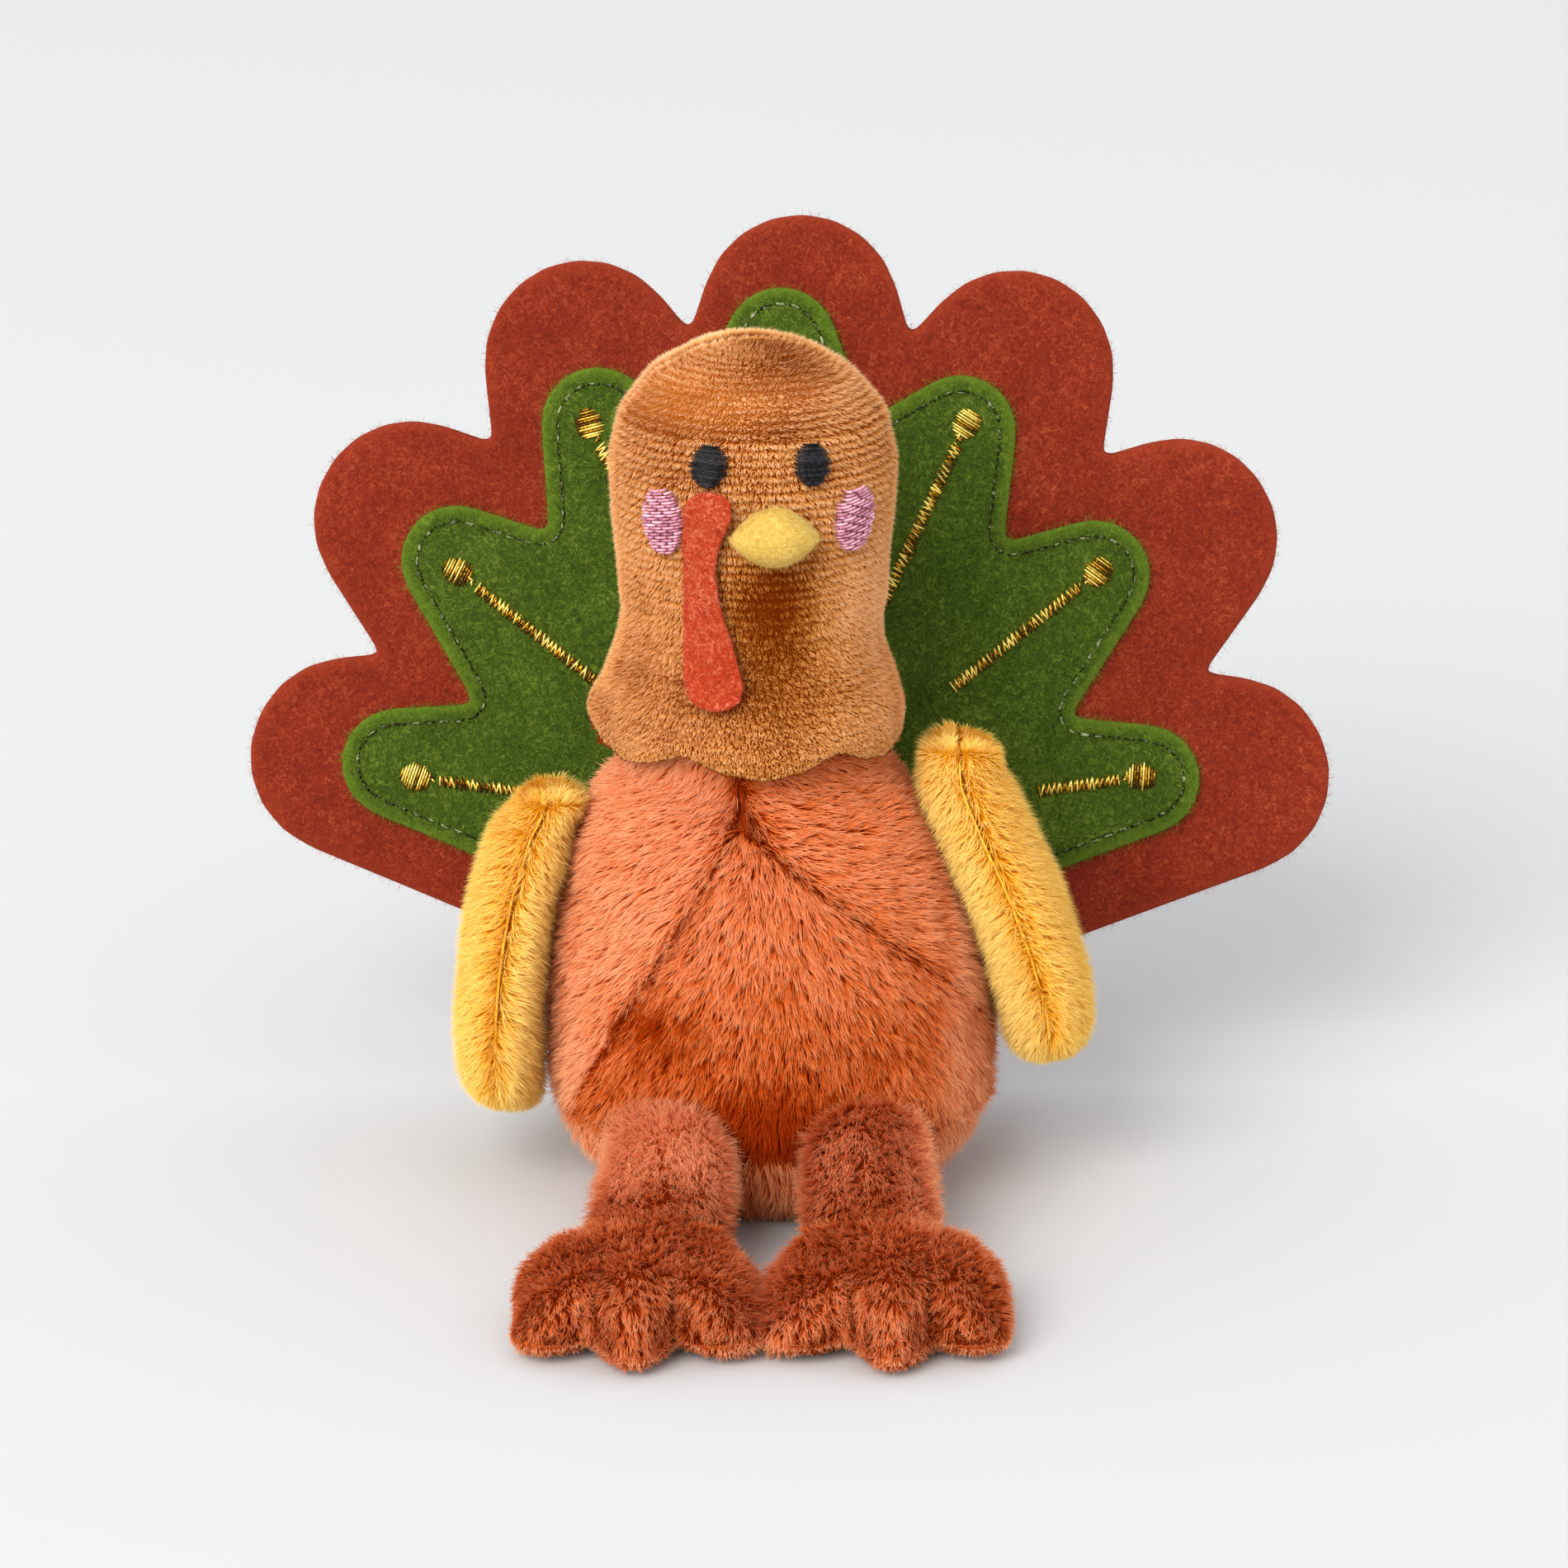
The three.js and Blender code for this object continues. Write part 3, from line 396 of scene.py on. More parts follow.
def pile_tree():
    tree, given, out = new_tree(
        "pile", per_mm2=5.0, joints=4, length_mm=5.0, width_mm=0.16, root_lean=0.7, bend=0.8, lock_mm=1.5,
        lock_pull=0.8, mess=0.3, swirl_mm=7.0, swirl=0.6, row_mm=1.5, row_depth=0.0, seed=1, keep_cloth=True,
        material=None)
    seed = given["seed"]
    here = add(tree, "GeometryNodeInputPosition").outputs[0]

    # Fibres grow where the cloth has pile, and closer together along a cut edge.
    pile = read(tree, "pile")
    grown = maths(tree, "GREATER_THAN", pile, 0.05)
    crowd = maths(tree, "MULTIPLY_ADD", read(tree, "edge"), 4.0, 1.0)
    density = product(tree, given["per_mm2"], 1e6, grown, crowd)
    scatter = add(tree, "GeometryNodeDistributePointsOnFaces",
                  {"Mesh": given["Geometry"], "Density": density, "Seed": seed})

    # A fibre leans along the comb, towards the middle of its lock, with a slow swirl and some chance.
    comb = read(tree, "comb", "FLOAT_VECTOR")
    cell = maths(tree, "DIVIDE", 1 / MM, given["lock_mm"])
    locks = add(tree, "ShaderNodeTexVoronoi", {"Vector": here, "Scale": cell})
    heart = vectors(tree, "SCALE", locks.outputs["Position"], cell)
    toward = vectors(tree, "SUBTRACT", heart, vectors(tree, "SCALE", here, cell))
    pull = vectors(tree, "SCALE", toward, given["lock_pull"])
    swell = maths(tree, "DIVIDE", 1 / MM, given["swirl_mm"])
    swirl = add(tree, "ShaderNodeTexNoise", {"Vector": here, "Scale": swell, "Detail": 1.0}).outputs["Color"]
    drift = vectors(tree, "SCALE", vectors(tree, "SUBTRACT", swirl, (0.5, 0.5, 0.5)), given["swirl"])
    chance = add(tree, "FunctionNodeRandomValue", {0: (-0.5, -0.5, -0.5), 1: (0.5, 0.5, 0.5), "Seed": seed},
                 data_type="FLOAT_VECTOR").outputs[0]
    stray = vectors(tree, "SCALE", chance, given["mess"])
    astray = vectors(tree, "ADD", pull, stray, drift)
    leaning = vectors(tree, "SCALE", comb, given["root_lean"])
    root = vectors(tree, "ADD", scatter.outputs["Normal"], leaning, astray)
    facing = add(tree, "FunctionNodeAxesToRotation", {0: root, 1: vectors(tree, "ADD", comb, astray)},
                 primary_axis="Z", secondary_axis="X")

    # Level rows of longer and shorter fibres, left by the knitting machine, make the ribs.
    wobble = add(tree, "ShaderNodeTexNoise", {"Vector": here, "Scale": 220.0, "Detail": 1.0}).outputs["Fac"]
    rows = maths(tree, "DIVIDE", 2000 * pi, given["row_mm"])
    phase = maths(tree, "MULTIPLY_ADD", read(tree, "height"), rows, maths(tree, "MULTIPLY", wobble, 2.4))
    depth = product(tree, given["row_depth"], maths(tree, "SUBTRACT", 1.0, read(tree, "brushed")))
    rib = product(tree, maths(tree, "COSINE", phase), depth)
    reach = add(tree, "FunctionNodeRandomValue", {2: 0.7, 3: 1.1, "Seed": seed}, data_type="FLOAT").outputs[1]
    length = product(tree, maths(tree, "ADD", rib, 1.0), reach, given["length_mm"], pile, MM)
    size = from_parts(tree, length, maths(tree, "MULTIPLY", given["width_mm"], MM), length)

    each = add(tree, "GeometryNodeInputIndex")
    lot = add(tree, "FunctionNodeRandomValue", {2: 0.0, 3: 1.0, "ID": each, "Seed": 7},
              data_type="FLOAT").outputs[1]
    lock = parts_of(tree, locks.outputs["Color"])["X"]
    roots = scatter
    for name, value in (("lot", lot), ("lock", lock), ("rib", rib)):
        roots = note(tree, roots, name, value)
    planted = add(tree, "GeometryNodeInstanceOnPoints",
                  {"Points": roots, "Instance": one_fibre(tree, given), "Rotation": facing, "Scale": size})
    real = add(tree, "GeometryNodeRealizeInstances", {"Geometry": planted})

    # No fibre reaches below the table.
    at = parts_of(tree, add(tree, "GeometryNodeInputPosition"))
    kept = from_parts(tree, at["X"], at["Y"], maths(tree, "MAXIMUM", at["Z"], 0.05 * MM))
    rested = add(tree, "GeometryNodeSetPosition", {"Geometry": real, "Position": kept})
    under = add(tree, "GeometryNodeSwitch", {"Switch": given["keep_cloth"], "True": given["Geometry"]},
                input_type="GEOMETRY")
    joined = add(tree, "GeometryNodeJoinGeometry")
    for part in (under, rested):
        tree.links.new(part.outputs[0], joined.inputs[0])
    return dressed(tree, out, joined, given["material"])


pile = pile_tree()
print("pile tree:", len(pile.nodes), "nodes")

# %% [markdown]
# Each plush panel starts from its CAD solid, which reaches from the backing to the tips of the pile. The
# solid gets an even skin, its outer face sinks by the height of the pile, so that the tips end where the
# solid does, and along the seams it sinks further, as cloth does where it is turned in and sewn.

# %% Cloth from a CAD panel
def skin_of(node):
    """A CAD node's loose triangles, merged into one skin."""
    work = bmesh.new()
    work.from_mesh(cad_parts[node].data)
    bmesh.ops.remove_doubles(work, verts=work.verts, dist=0.01 * MM)
    return work


def even_copy(node, name, grain_mm, rounds):
    """A new object like a CAD node, with an even skin of small faces and softer edges."""
    work = skin_of(node)
    made = mesh_object(name, [], [])
    work.to_mesh(made.data)
    work.free()
    remesh = made.modifiers.new("even", "REMESH")
    remesh.mode = "VOXEL"
    remesh.voxel_size = grain_mm * MM
    soften = made.modifiers.new("soften", "SMOOTH")
    soften.factor = 0.5
    soften.iterations = rounds
    return settle(made)


def unit(ways):
    return ways / np.maximum(np.linalg.norm(ways, axis=1, keepdims=True), 1e-9)


def along_cloth(wanted, normals):
    """The part of each wanted direction that lies along the cloth."""
    return unit(wanted - normals * (wanted * normals).sum(1, keepdims=True))


def columns(*parts):
    return np.stack(parts, 1)


def ease(value, low, high):
    """0 below the low limit and 1 above the high one, with a smooth rise between them."""
    share = np.clip((value - low) / (high - low), 0, 1)
    return share * share * (3 - 2 * share)


def ease_mm(value, low, high):
    """The same, with both limits in millimetres."""
    return ease(value, low * MM, high * MM)


def waves(points, size_mm, seed):
    """A gentle lumpiness from about -1 to 1, made of a few crossing waves."""
    chance = np.random.default_rng(seed)
    total = np.zeros(len(points))
    for _ in range(6):
        way = chance.normal(size=3)
        way /= np.linalg.norm(way)
        length = size_mm * MM * chance.uniform(0.7, 1.5)
        total += np.sin(points @ way * (2 * pi / length) + chance.uniform(0, 6))
    return total / 3.4


def distance_to(points, targets):
    tree = KDTree(len(targets))
    for i, p in enumerate(targets):
        tree.insert(p, i)
    tree.balance()
    return np.array([tree.find(p)[2] for p in points])


def all_round(points, normals=None):
    return np.ones(len(points))


def nowhere(points):
    return np.zeros(len(points))


def above_table(points):
    return points[:, 2]


def as_it_is(points, normals):
    return points


def cloth(node, name, seed, heart, pile_mm, comb, nap, dip_mm=0.3, seam_mm=1.6, lumps_mm=0.35, grain_mm=1.0,
          rounds=5, bare=all_round, brushed=nowhere, height=above_table, reach=all_round, shaped=as_it_is,
          seam_tint=1.0, trim=0.0, rim=(-0.1, 0.35), wall_mm=0.2):
    """A panel of plush without its fibres. heart(points) gives, for each point, one in the stuffing's middle.

    bare is 0 where the cloth lies on the table, brushed is 1 where its rows are brushed out, reach is how
    long the pile is, trim how much shorter it is at a seam, and rim how far it grows round the edge."""
    made = even_copy(node, name, grain_mm, rounds)
    mesh = made.data
    points, normals = places(mesh), normals_of(mesh)
    # facing is about 1 on the outer face, 0 on the walls where the panel is sewn, and -1 on the backing.
    outward = unit(points - heart(points))
    facing = (outward * normals).sum(1)
    outer = ease(facing, 0.1, 0.55)
    seam = np.exp(-(distance_to(points, points[outer < 0.3]) / (seam_mm * MM)) ** 2)
    bared = bare(points, normals)
    sink = (pile_mm + dip_mm * seam + lumps_mm * waves(points, 14, seed)) * outer * bared
    walls = np.clip(1 - np.abs(facing) / 0.6, 0, 1) * wall_mm
    points = points - outward * (sink * MM)[:, None] + normals * (walls * MM)[:, None]
    points[:, 2] = np.maximum(points[:, 2], 0)
    move_to(mesh, shaped(points.copy(), normals))
    grown = ease(facing, *rim) * bared * (1 - trim * seam)
    # The seam number written below darkens the pile's colour along the seams, a painted shade in their
    # creases. seam_tint scales it, and below zero it makes the seam paler instead.
    for label, values in (
            ("comb", along_cloth(comb(points, normals), normals_of(mesh))), ("pile", grown * reach(points)),
            ("height", height(points)), ("seam", seam * seam_tint), ("brushed", brushed(points)),
            ("nap", nap(points, normals)), ("wall", np.abs(facing) < 0.3)):
        write_attribute(mesh, label, values)
    return made


def wall_points(made):
    """The points of a plush panel, and of its fibres once it has them, that lie in its seams."""
    return places(made.data)[marked(made.data, "wall")]


def plush_panel(part, settings, slot, body, fullness, seed, **cut):
    """Makes a CAD panel's plush and its pile. Gives it and the places where its bare cloth is sewn."""
    node = part + "_panel"
    panel = cloth(node, part + "_plush", seed=seed, **cut)
    sewn = wall_points(panel)
    run_tree(panel, pile, seed=seed, **settings)
    take_part(panel, slot, body, node)
    return panel, sewn


print("cloth helpers ready")

# %% [markdown]
# The body is a pear. Its belly panel is combed straight down and spreads towards its seams, the left panel is
# combed down and round to the side, and the right one lies almost level near the collar and turns downwards
# lower down. The base panel is combed down, and bare where the toy stands on it. A nap number makes the pile
# paler where it is above zero and darker where it is below. It holds where the pile has been brushed, and
# painted shading as well: painted shadow under the collar and between the legs, and painted light on the
# right side and the base, which lie in shade.

# %% The body
NECK_X = -3 * MM
WAIST = 70.8 * MM
WIDEST = 22 * MM
DOWN = np.array([0.0, 0.0, -1.0])


def body_heart(points):
    z = np.clip(points[:, 2], 0.018, 0.082)
    return columns(NECK_X * ease(z, WIDEST, WAIST), 0 * z, z)


def sideways(points, hand):
    """Level directions round the body, away from the front, for the left panel (-1) or the right one (1)."""
    return hand * unit(columns(-points[:, 1], points[:, 0] - NECK_X, 0 * points[:, 0]))


def left_side_comb(points, normals):
    return DOWN + 0.75 * sideways(points, -1)


def right_side_comb(points, normals):
    level = ease_mm(points[:, 2], 22, 62)[:, None]
    return DOWN * (1.0 - 0.55 * level) + sideways(points, 1) * (0.35 + 0.75 * level)


def belly_comb(points, normals):
    spread = (points[:, 0] + 3 * MM) / (26 * MM)
    high = ease_mm(points[:, 2], 30, 60)
    return DOWN + columns(spread * (0.5 + 0.9 * high) - 0.12, 0 * spread, 0 * spread)


def base_comb(points, normals):
    return DOWN + columns(points[:, 0] * 6, points[:, 1] * 6, 0 * points[:, 0])


def base_bare(points, normals):
    return ease_mm(points[:, 2], 0.2, 2.5)


def spot(points, x, z, reach_mm):
    """1 at a place on the front, fading to 0 all round it."""
    return np.exp(-((points[:, 0] - x * MM) ** 2 + (points[:, 2] - z * MM) ** 2) / (reach_mm * MM) ** 2)


# A painted shadow under the collar's hem, from a little left of the middle across to the right.
def painted_collar_shadow(points):
    return 0.18 * ease_mm(points[:, 2], 70, 77) * ease_mm(points[:, 0], -18, -10)


# Painted shading on the belly: a painted shadow between the legs, painted shade low down and the painted
# shadow under the collar, and painted light towards the right edge, which lies in shade. The belly is paler
# higher up, and a darker patch of pile lies low on the left.
def belly_nap(points, normals):
    x, _, z = points.T
    between_legs_shadow = spot(points, 0, 14, 12) * 0.9
    lower_left = spot(points, -18, 35, 6) * np.maximum(0.4 + 0.3 * waves(points, 4, 5), 0)
    low_in_shade = 0.14 * (1 - ease_mm(z, 30, 44))
    high_up = 0.16 * ease_mm(z, 40, 60)
    beside = 0.5 * ease_mm(x, 23, 30)
    return beside + high_up - 0.13 - low_in_shade - between_legs_shadow - lower_left - painted_collar_shadow(points)


# On the left panel the pile is paler all over, and painted light lifts it low at the far left, where it lies
# in shade. A darker patch of pile lies low near the belly, and the painted shadow under the collar reaches it
# too.
def left_nap(points, normals):
    lower_right = 0.4 * spot(points, -20, 36, 4) * np.maximum(0.8 + 0.5 * waves(points, 4, 5), 0)
    lower_left = 0.3 * ease_mm(-points[:, 0], 26, 32) * (1 - ease_mm(points[:, 2], 26, 34))
    return 0.26 + lower_left - lower_right - painted_collar_shadow(points)


# Painted light on the right panel, which lies in shade: the pile is painted paler towards the right edge, more
# so low down, and a little paler higher up. The painted shadow under the collar is taken off.
def right_nap(points, normals):
    x, _, z = points.T
    low_in_shade = 1 - ease_mm(z, 45, 60)
    beside = 0.12 * ease_mm(x, 15, 25) + (0.4 + 0.3 * low_in_shade) * ease_mm(x, 25, 33)
    return beside - 0.08 + 0.1 * ease_mm(z, 42, 52) - painted_collar_shadow(points)


# Painted light on the base, which lies in shade: a little paler all over and more towards its sides.
def base_nap(points, normals):
    return 0.12 + 0.25 * ease_mm(np.abs(points[:, 0]), 12, 28)


body_pile = dict(joints=3, length_mm=3.7, width_mm=0.22, root_lean=0.7, bend=0.8, lock_mm=1.2, lock_pull=0.45,
                 mess=0.45, swirl_mm=3.4, swirl=1.3, row_mm=1.8, material=coral_plush)
for part, comb, nap, per_mm2, rows, seed, cut in (
        ("belly", belly_comb, belly_nap, 12.5, 0.12, 11, dict(pile_mm=2.2, rounds=3, grain_mm=0.7)),
        ("left", left_side_comb, left_nap, 8.0, 0.0, 12, dict(pile_mm=2.2, rounds=3)),
        ("right", right_side_comb, right_nap, 8.0, 0.0, 13, dict(pile_mm=2.2, rounds=3)),
        ("base", base_comb, base_nap, 5.0, 0.0, 14, dict(pile_mm=2.0, bare=base_bare))):
    settings = dict(per_mm2=per_mm2, row_depth=rows, **body_pile)
    plush_panel(f"body_{part}", settings, "coral_plush", "body", 0.9, seed, heart=body_heart, comb=comb,
                nap=nap, **cut)

# %% [markdown]
# The head is minky: a dense pile only one millimetre long that stands nearly upright, in fine level rows
# left by the knitting machine.

# %% The head
CROWN_Z = 121 * MM


def head_heart(points):
    z = np.clip(points[:, 2], 0.070, CROWN_Z - 3 * MM)
    return columns(NECK_X + 0 * z, 0 * z, z)


def head_comb(points, normals):
    return DOWN * 0.8 + np.array([0.25, 0, 0])


def head_nap(points, normals):
    """Darker below the beak, partly the nap and partly painted shadow under the beak; paler on the forehead
    and a little to the left; paler to the right, as painted light on the side in shade.
    """
    below_beak = spot(points, 0, 104, 8) * 0.65 + spot(points, 2, 95, 9) * 0.35 + spot(points, 0, 86, 8) * 0.2
    forehead = 0.3 * np.exp(-((points[:, 2] - 134 * MM) / (5 * MM)) ** 2)
    left = 0.08 * ease_mm(-points[:, 0], 6, 20)
    right = spot(points, 14, 99, 8) * 0.3 - spot(points, 10, 125, 9) * 0.08
    return 0.1 + forehead + left + right - below_beak


def head_height(points):
    """Height measured along the cloth, which turns level over the crown."""
    over = np.clip((points[:, 2] - CROWN_Z) / (19 * MM), 0, 1)
    return np.minimum(points[:, 2], CROWN_Z) + 21 * MM * np.arcsin(over)


def head_reach(points):
    """The pile is clipped shorter towards the hem."""
    return 0.6 + 0.4 * ease_mm(points[:, 2], 76, 83)


def collar_flare(points, normals):
    """Where the side seams end, the collar's corners stand out a little."""
    side = np.abs(points[:, 0] - NECK_X) / (25.8 * MM)
    corner = ease(side, 0.86, 0.98) * ease_mm(-points[:, 2], -85.5, -80.5)
    points[:, 0] += np.where(points[:, 0] < NECK_X, -1.8, 0.5) * corner * MM
    points[:, 0] -= 1.0 * MM * ease_mm(points[:, 0], 8, 20) * ease_mm(-points[:, 2], -100, -90)
    return points


def head_brushed(points):
    """The rows are brushed out low on the head."""
    return 0.75 * (1 - ease_mm(points[:, 2], 94, 113))


head_pile = dict(joints=2, length_mm=1.0, width_mm=0.2, root_lean=0.3, bend=0.4, lock_mm=0.8, lock_pull=0.4,
                 mess=0.5, swirl_mm=9.0, swirl=0.6, row_mm=1.45, row_depth=0.25, material=caramel_plush)
for side, per_mm2, grain, seed in (("front", 26.0, 0.7, 21), ("back", 14.0, 0.9, 22)):
    plush_panel(f"head_{side}", dict(per_mm2=per_mm2, **head_pile), "caramel_plush", "head", 0.9, seed,
                heart=head_heart, pile_mm=0.9, comb=head_comb, nap=head_nap, seam_mm=1.2, lumps_mm=0.15,
                grain_mm=grain, rounds=2, brushed=head_brushed, height=head_height, reach=head_reach,
                shaped=collar_flare, rim=(0.2, 0.55))

# %% [markdown]
# A wing is a pad of two panels. Their seam runs down the middle of the edge that faces the viewer, and the
# pile parts along it: outwards on one panel, towards the body on the other, and downwards further away.

# %% The wings
def wing(side, hand):
    """Makes one wing, and gives the line of its front seam."""
    name = f"wing_{side}"
    low, high = [Vector(c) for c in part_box(name + "_outer_panel")]
    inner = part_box(name + "_inner_panel")
    top_x = (inner[1][0] if hand < 0 else inner[0][0]) + hand * 6.6 * MM
    foot_x = (low.x if hand < 0 else high.x) - hand * 6.8 * MM
    middle_y = (low.y + high.y) / 2

    def middle_x(z):
        return top_x + (foot_x - top_x) * np.sin(np.clip((high.z - z) / (high.z - low.z), 0, 1) * pi / 2)

    def heart(points):
        z = np.clip(points[:, 2], low.z + 9 * MM, high.z - 6 * MM)
        return columns(middle_x(z), middle_y + 0.6 * (points[:, 1] - middle_y), z)

    def shaped_ends(points, normals):
        """The wing's lower end is nearly square, and its top is rounded off."""
        share = np.clip((low.z + 8 * MM - points[:, 2]) / (8 * MM), 0, 1)
        off = points[:, 0] - middle_x(points[:, 2])
        wide = np.minimum(np.abs(off) * (1 + 0.9 * share ** 2), np.maximum(np.abs(off), 6.3 * MM))
        points[:, 0] += np.sign(off) * wide - off
        points[:, 2] += 0.6 * MM * share
        crown = ease(points[:, 2], high.z - 8 * MM, high.z)
        points[:, 2] -= 2.4 * MM * crown * (off / (7 * MM)) ** 2
        return points

    def clipped_ends(points):
        foot = 1 - ease(points[:, 2], low.z + 2 * MM, low.z + 9 * MM)
        return 1 - 0.5 * foot - 0.45 * ease(points[:, 2], high.z - 9 * MM, high.z - 2 * MM)

    rims = []
    # paler lifts the pile of both panels: painted light, most on the inner panel, which lies in shade against
    # the body.
    for face, out, paler, length, seed in (("outer", hand, 0.2, 3.0, 31), ("inner", -hand, 0.42, 3.6, 33)):
        def comb(points, normals, out=out):
            near = np.clip(np.abs(points[:, 1] - middle_y) / (high.y - low.y) * 2, 0, 1) ** 2
            ahead = np.where(points[:, 1] < middle_y, 1.0, -1.0)
            away = columns(out * near, ahead * (1 - near) * 0.4, 0 * near)
            return away * (1.3 * near + 0.2)[:, None] + DOWN * (1.1 - 0.65 * near)[:, None]

        def nap(points, normals, paler=paler):
            return 0 * points[:, 0] + paler

        settings = dict(length_mm=length, **wing_pile)
        seed += hand > 0
        _, sewn = plush_panel(
            f"{name}_{face}", settings, "yellow_plush", name, 0.8, seed, heart=heart, pile_mm=1.1, comb=comb,
            nap=nap, dip_mm=0.2, lumps_mm=0.25, rounds=2, grain_mm=0.8, seam_mm=2.0, reach=clipped_ends,
            shaped=shaped_ends)
        rims.append(sewn)

    rim = np.vstack(rims)
    edge = []
    for z in np.arange(low.z + 2.5 * MM, min(high.z - 1.5 * MM, rim[:, 2].max()), 0.9 * MM):
        level = rim[np.abs(rim[:, 2] - z) < 0.8 * MM]
        front = level[level[:, 1] < level[:, 1].min() + 0.7 * MM].mean(0)
        edge.append((front[0], front[1] + 0.15 * MM, z))
    edge = np.array(edge)
    for _ in range(3):
        edge[1:-1] = edge[1:-1] * 0.5 + (edge[2:] + edge[:-2]) * 0.25
    return edge


wing_pile = dict(per_mm2=11.0, joints=3, width_mm=0.19, root_lean=0.4, bend=0.6, lock_mm=1.1, lock_pull=0.4,
                 mess=0.6, swirl_mm=7.0, swirl=0.6, material=yellow_plush)
wing_edges = {side: wing(side, hand) for side, hand in (("left", -1), ("right", 1))}

# %% [markdown]
# The legs and feet are a short curly plush: the fibres stand up, wander and gather into small tufts, with
# dark gaps between them. The pile lies forward along the leg, and each foot is sewn to its sole round the
# toes. Near the hip the cloth is blended between the body and the leg, because it folds there.


def leg(side, hip_x):
    name = f"leg_{side}"
    low, high = [Vector(c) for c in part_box(name + "_upper_panel")]
    foot_x = (low.x + high.x) / 2
    toward = 1 if side == "left" else -1

    def share(y):
        return ease((high.y - y) / (high.y - low.y), 0.15, 0.62)

    def heart(points):
        y = np.maximum(points[:, 1], low.y + 9 * MM)
        middle = hip_x + (foot_x - hip_x) * share(y)
        half = (5 + 8.5 * share(y)) * MM
        x = np.clip(points[:, 0], middle - half, middle + half)
        return columns(x, y, (15 - 11.3 * share(y)) * MM)

    def comb(points, normals):
        top = ease(points[:, 1], high.y - 16 * MM, high.y)[:, None]
        spread = columns(0.8 * normals[:, 0], 0 * top[:, 0], 0 * top[:, 0])
        return (np.array([0.0, -1.0, -0.15]) + spread) * (1 - top) + np.array([0.5, 0.2, 0.6]) * top

    def off_the_table(points, normals):
        return 1 - ease(-normals[:, 2], 0.8, 0.97) * ease_mm(-points[:, 2], -1.5, -0.4)

    def outer_ankle(points):
        outer = (foot_x - points[:, 0]) * toward
        return ease_mm(outer, 4, 10) * np.exp(-((points[:, 1] + 53 * MM) / (7 * MM)) ** 2)

    def inner_flank(points):
        inner = (points[:, 0] - foot_x) * toward
        return ease_mm(inner, 12, 18) * ease_mm(-points[:, 1], 58, 63)

    def longer(points):
        hip = ease_mm(points[:, 1], -60, -42)
        return 1 + 0.5 * hip - 0.5 * outer_ankle(points) + 0.5 * inner_flank(points)

    def foot_shape(points, normals):
        """Fills the grooves on the foot's top, draws the ankle in, and brings the feet together."""
        top = np.flatnonzero((normals[:, 2] > 0.3) & (points[:, 1] < -60 * MM))
        x, y, z = points[top].T
        apart_x, apart_y = x[:, None] - x, y[:, None] - y
        near = np.exp(z / (1.5 * MM) - (apart_x / (6 * MM)) ** 2 - (apart_y / (1.2 * MM)) ** 2)
        level = near @ z / near.sum(1) - 0.6 * MM
        share = (1 - ease_mm(-y, 79, 87)) * (1 - ease_mm(np.abs(x - foot_x), 12, 17))
        points[top, 2] = z + np.maximum(level - z, 0) * share
        points[:, 0] += toward * (2.0 * outer_ankle(points) + 1.1 * inner_flank(points)) * MM
        return points

    # The upper's seam is painted darker, a painted shade in its crease, and the sole's seam paler. The pile is
    # painted paler at the hip, more on the left leg, on the outer side of the right leg, towards the toes and
    # at the inner flank, and paler still on the sole.
    for face, height, settings, tint, more, bare, seed in (
            ("upper", 1.3, upper_pile, 0.8, 0.0, all_round, 41),
            ("sole", 0.6, sole_pile, -2.0, 0.16, off_the_table, 43)):
        def nap(points, normals, more=more):
            x, y, z = points.T
            hip = (0.6 if side == "left" else 0.15) * ease_mm(z, 8, 17) * ease_mm(y, -60, -46)
            beside = 0.25 * ease_mm(x, 17, 23) * ease_mm(y, -70, -60)
            toes = 0.03 * ease_mm(-y, 62, 70)
            return hip + beside + toes + 0.15 * inner_flank(points) - 0.08 + more

        seed += side == "right"
        panel, _ = plush_panel(
            f"{name}_{face}", settings, "brown_plush", None, 0.8, seed, heart=heart, pile_mm=height, comb=comb,
            nap=nap, seam_mm=1.1, reach=longer, shaped=foot_shape, seam_tint=tint, trim=0.5, wall_mm=0.5,
            grain_mm=0.8, bare=bare)
        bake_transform(panel)


upper_pile = dict(per_mm2=12.0, joints=3, length_mm=2.9, width_mm=0.18, root_lean=0.45, bend=0.8, lock_mm=1.1,
                  lock_pull=0.7, mess=0.6, swirl_mm=5.0, swirl=0.9, material=brown_plush)
sole_pile = {**upper_pile, "per_mm2": 8.0, "length_mm": 2.0}
leg("left", -16.1 * MM)
leg("right", 15.0 * MM)

# %% [markdown]
# Felt has no weave. Wool and rayon fibres lie in it every way and are matted together, so its colour is a
# fine mottle, with pale fibres on top and a lighter, looser edge where it was cut. The sheet gets the mottle,
# and its loose fibres are made as real ones, with the same tree that made the pile.

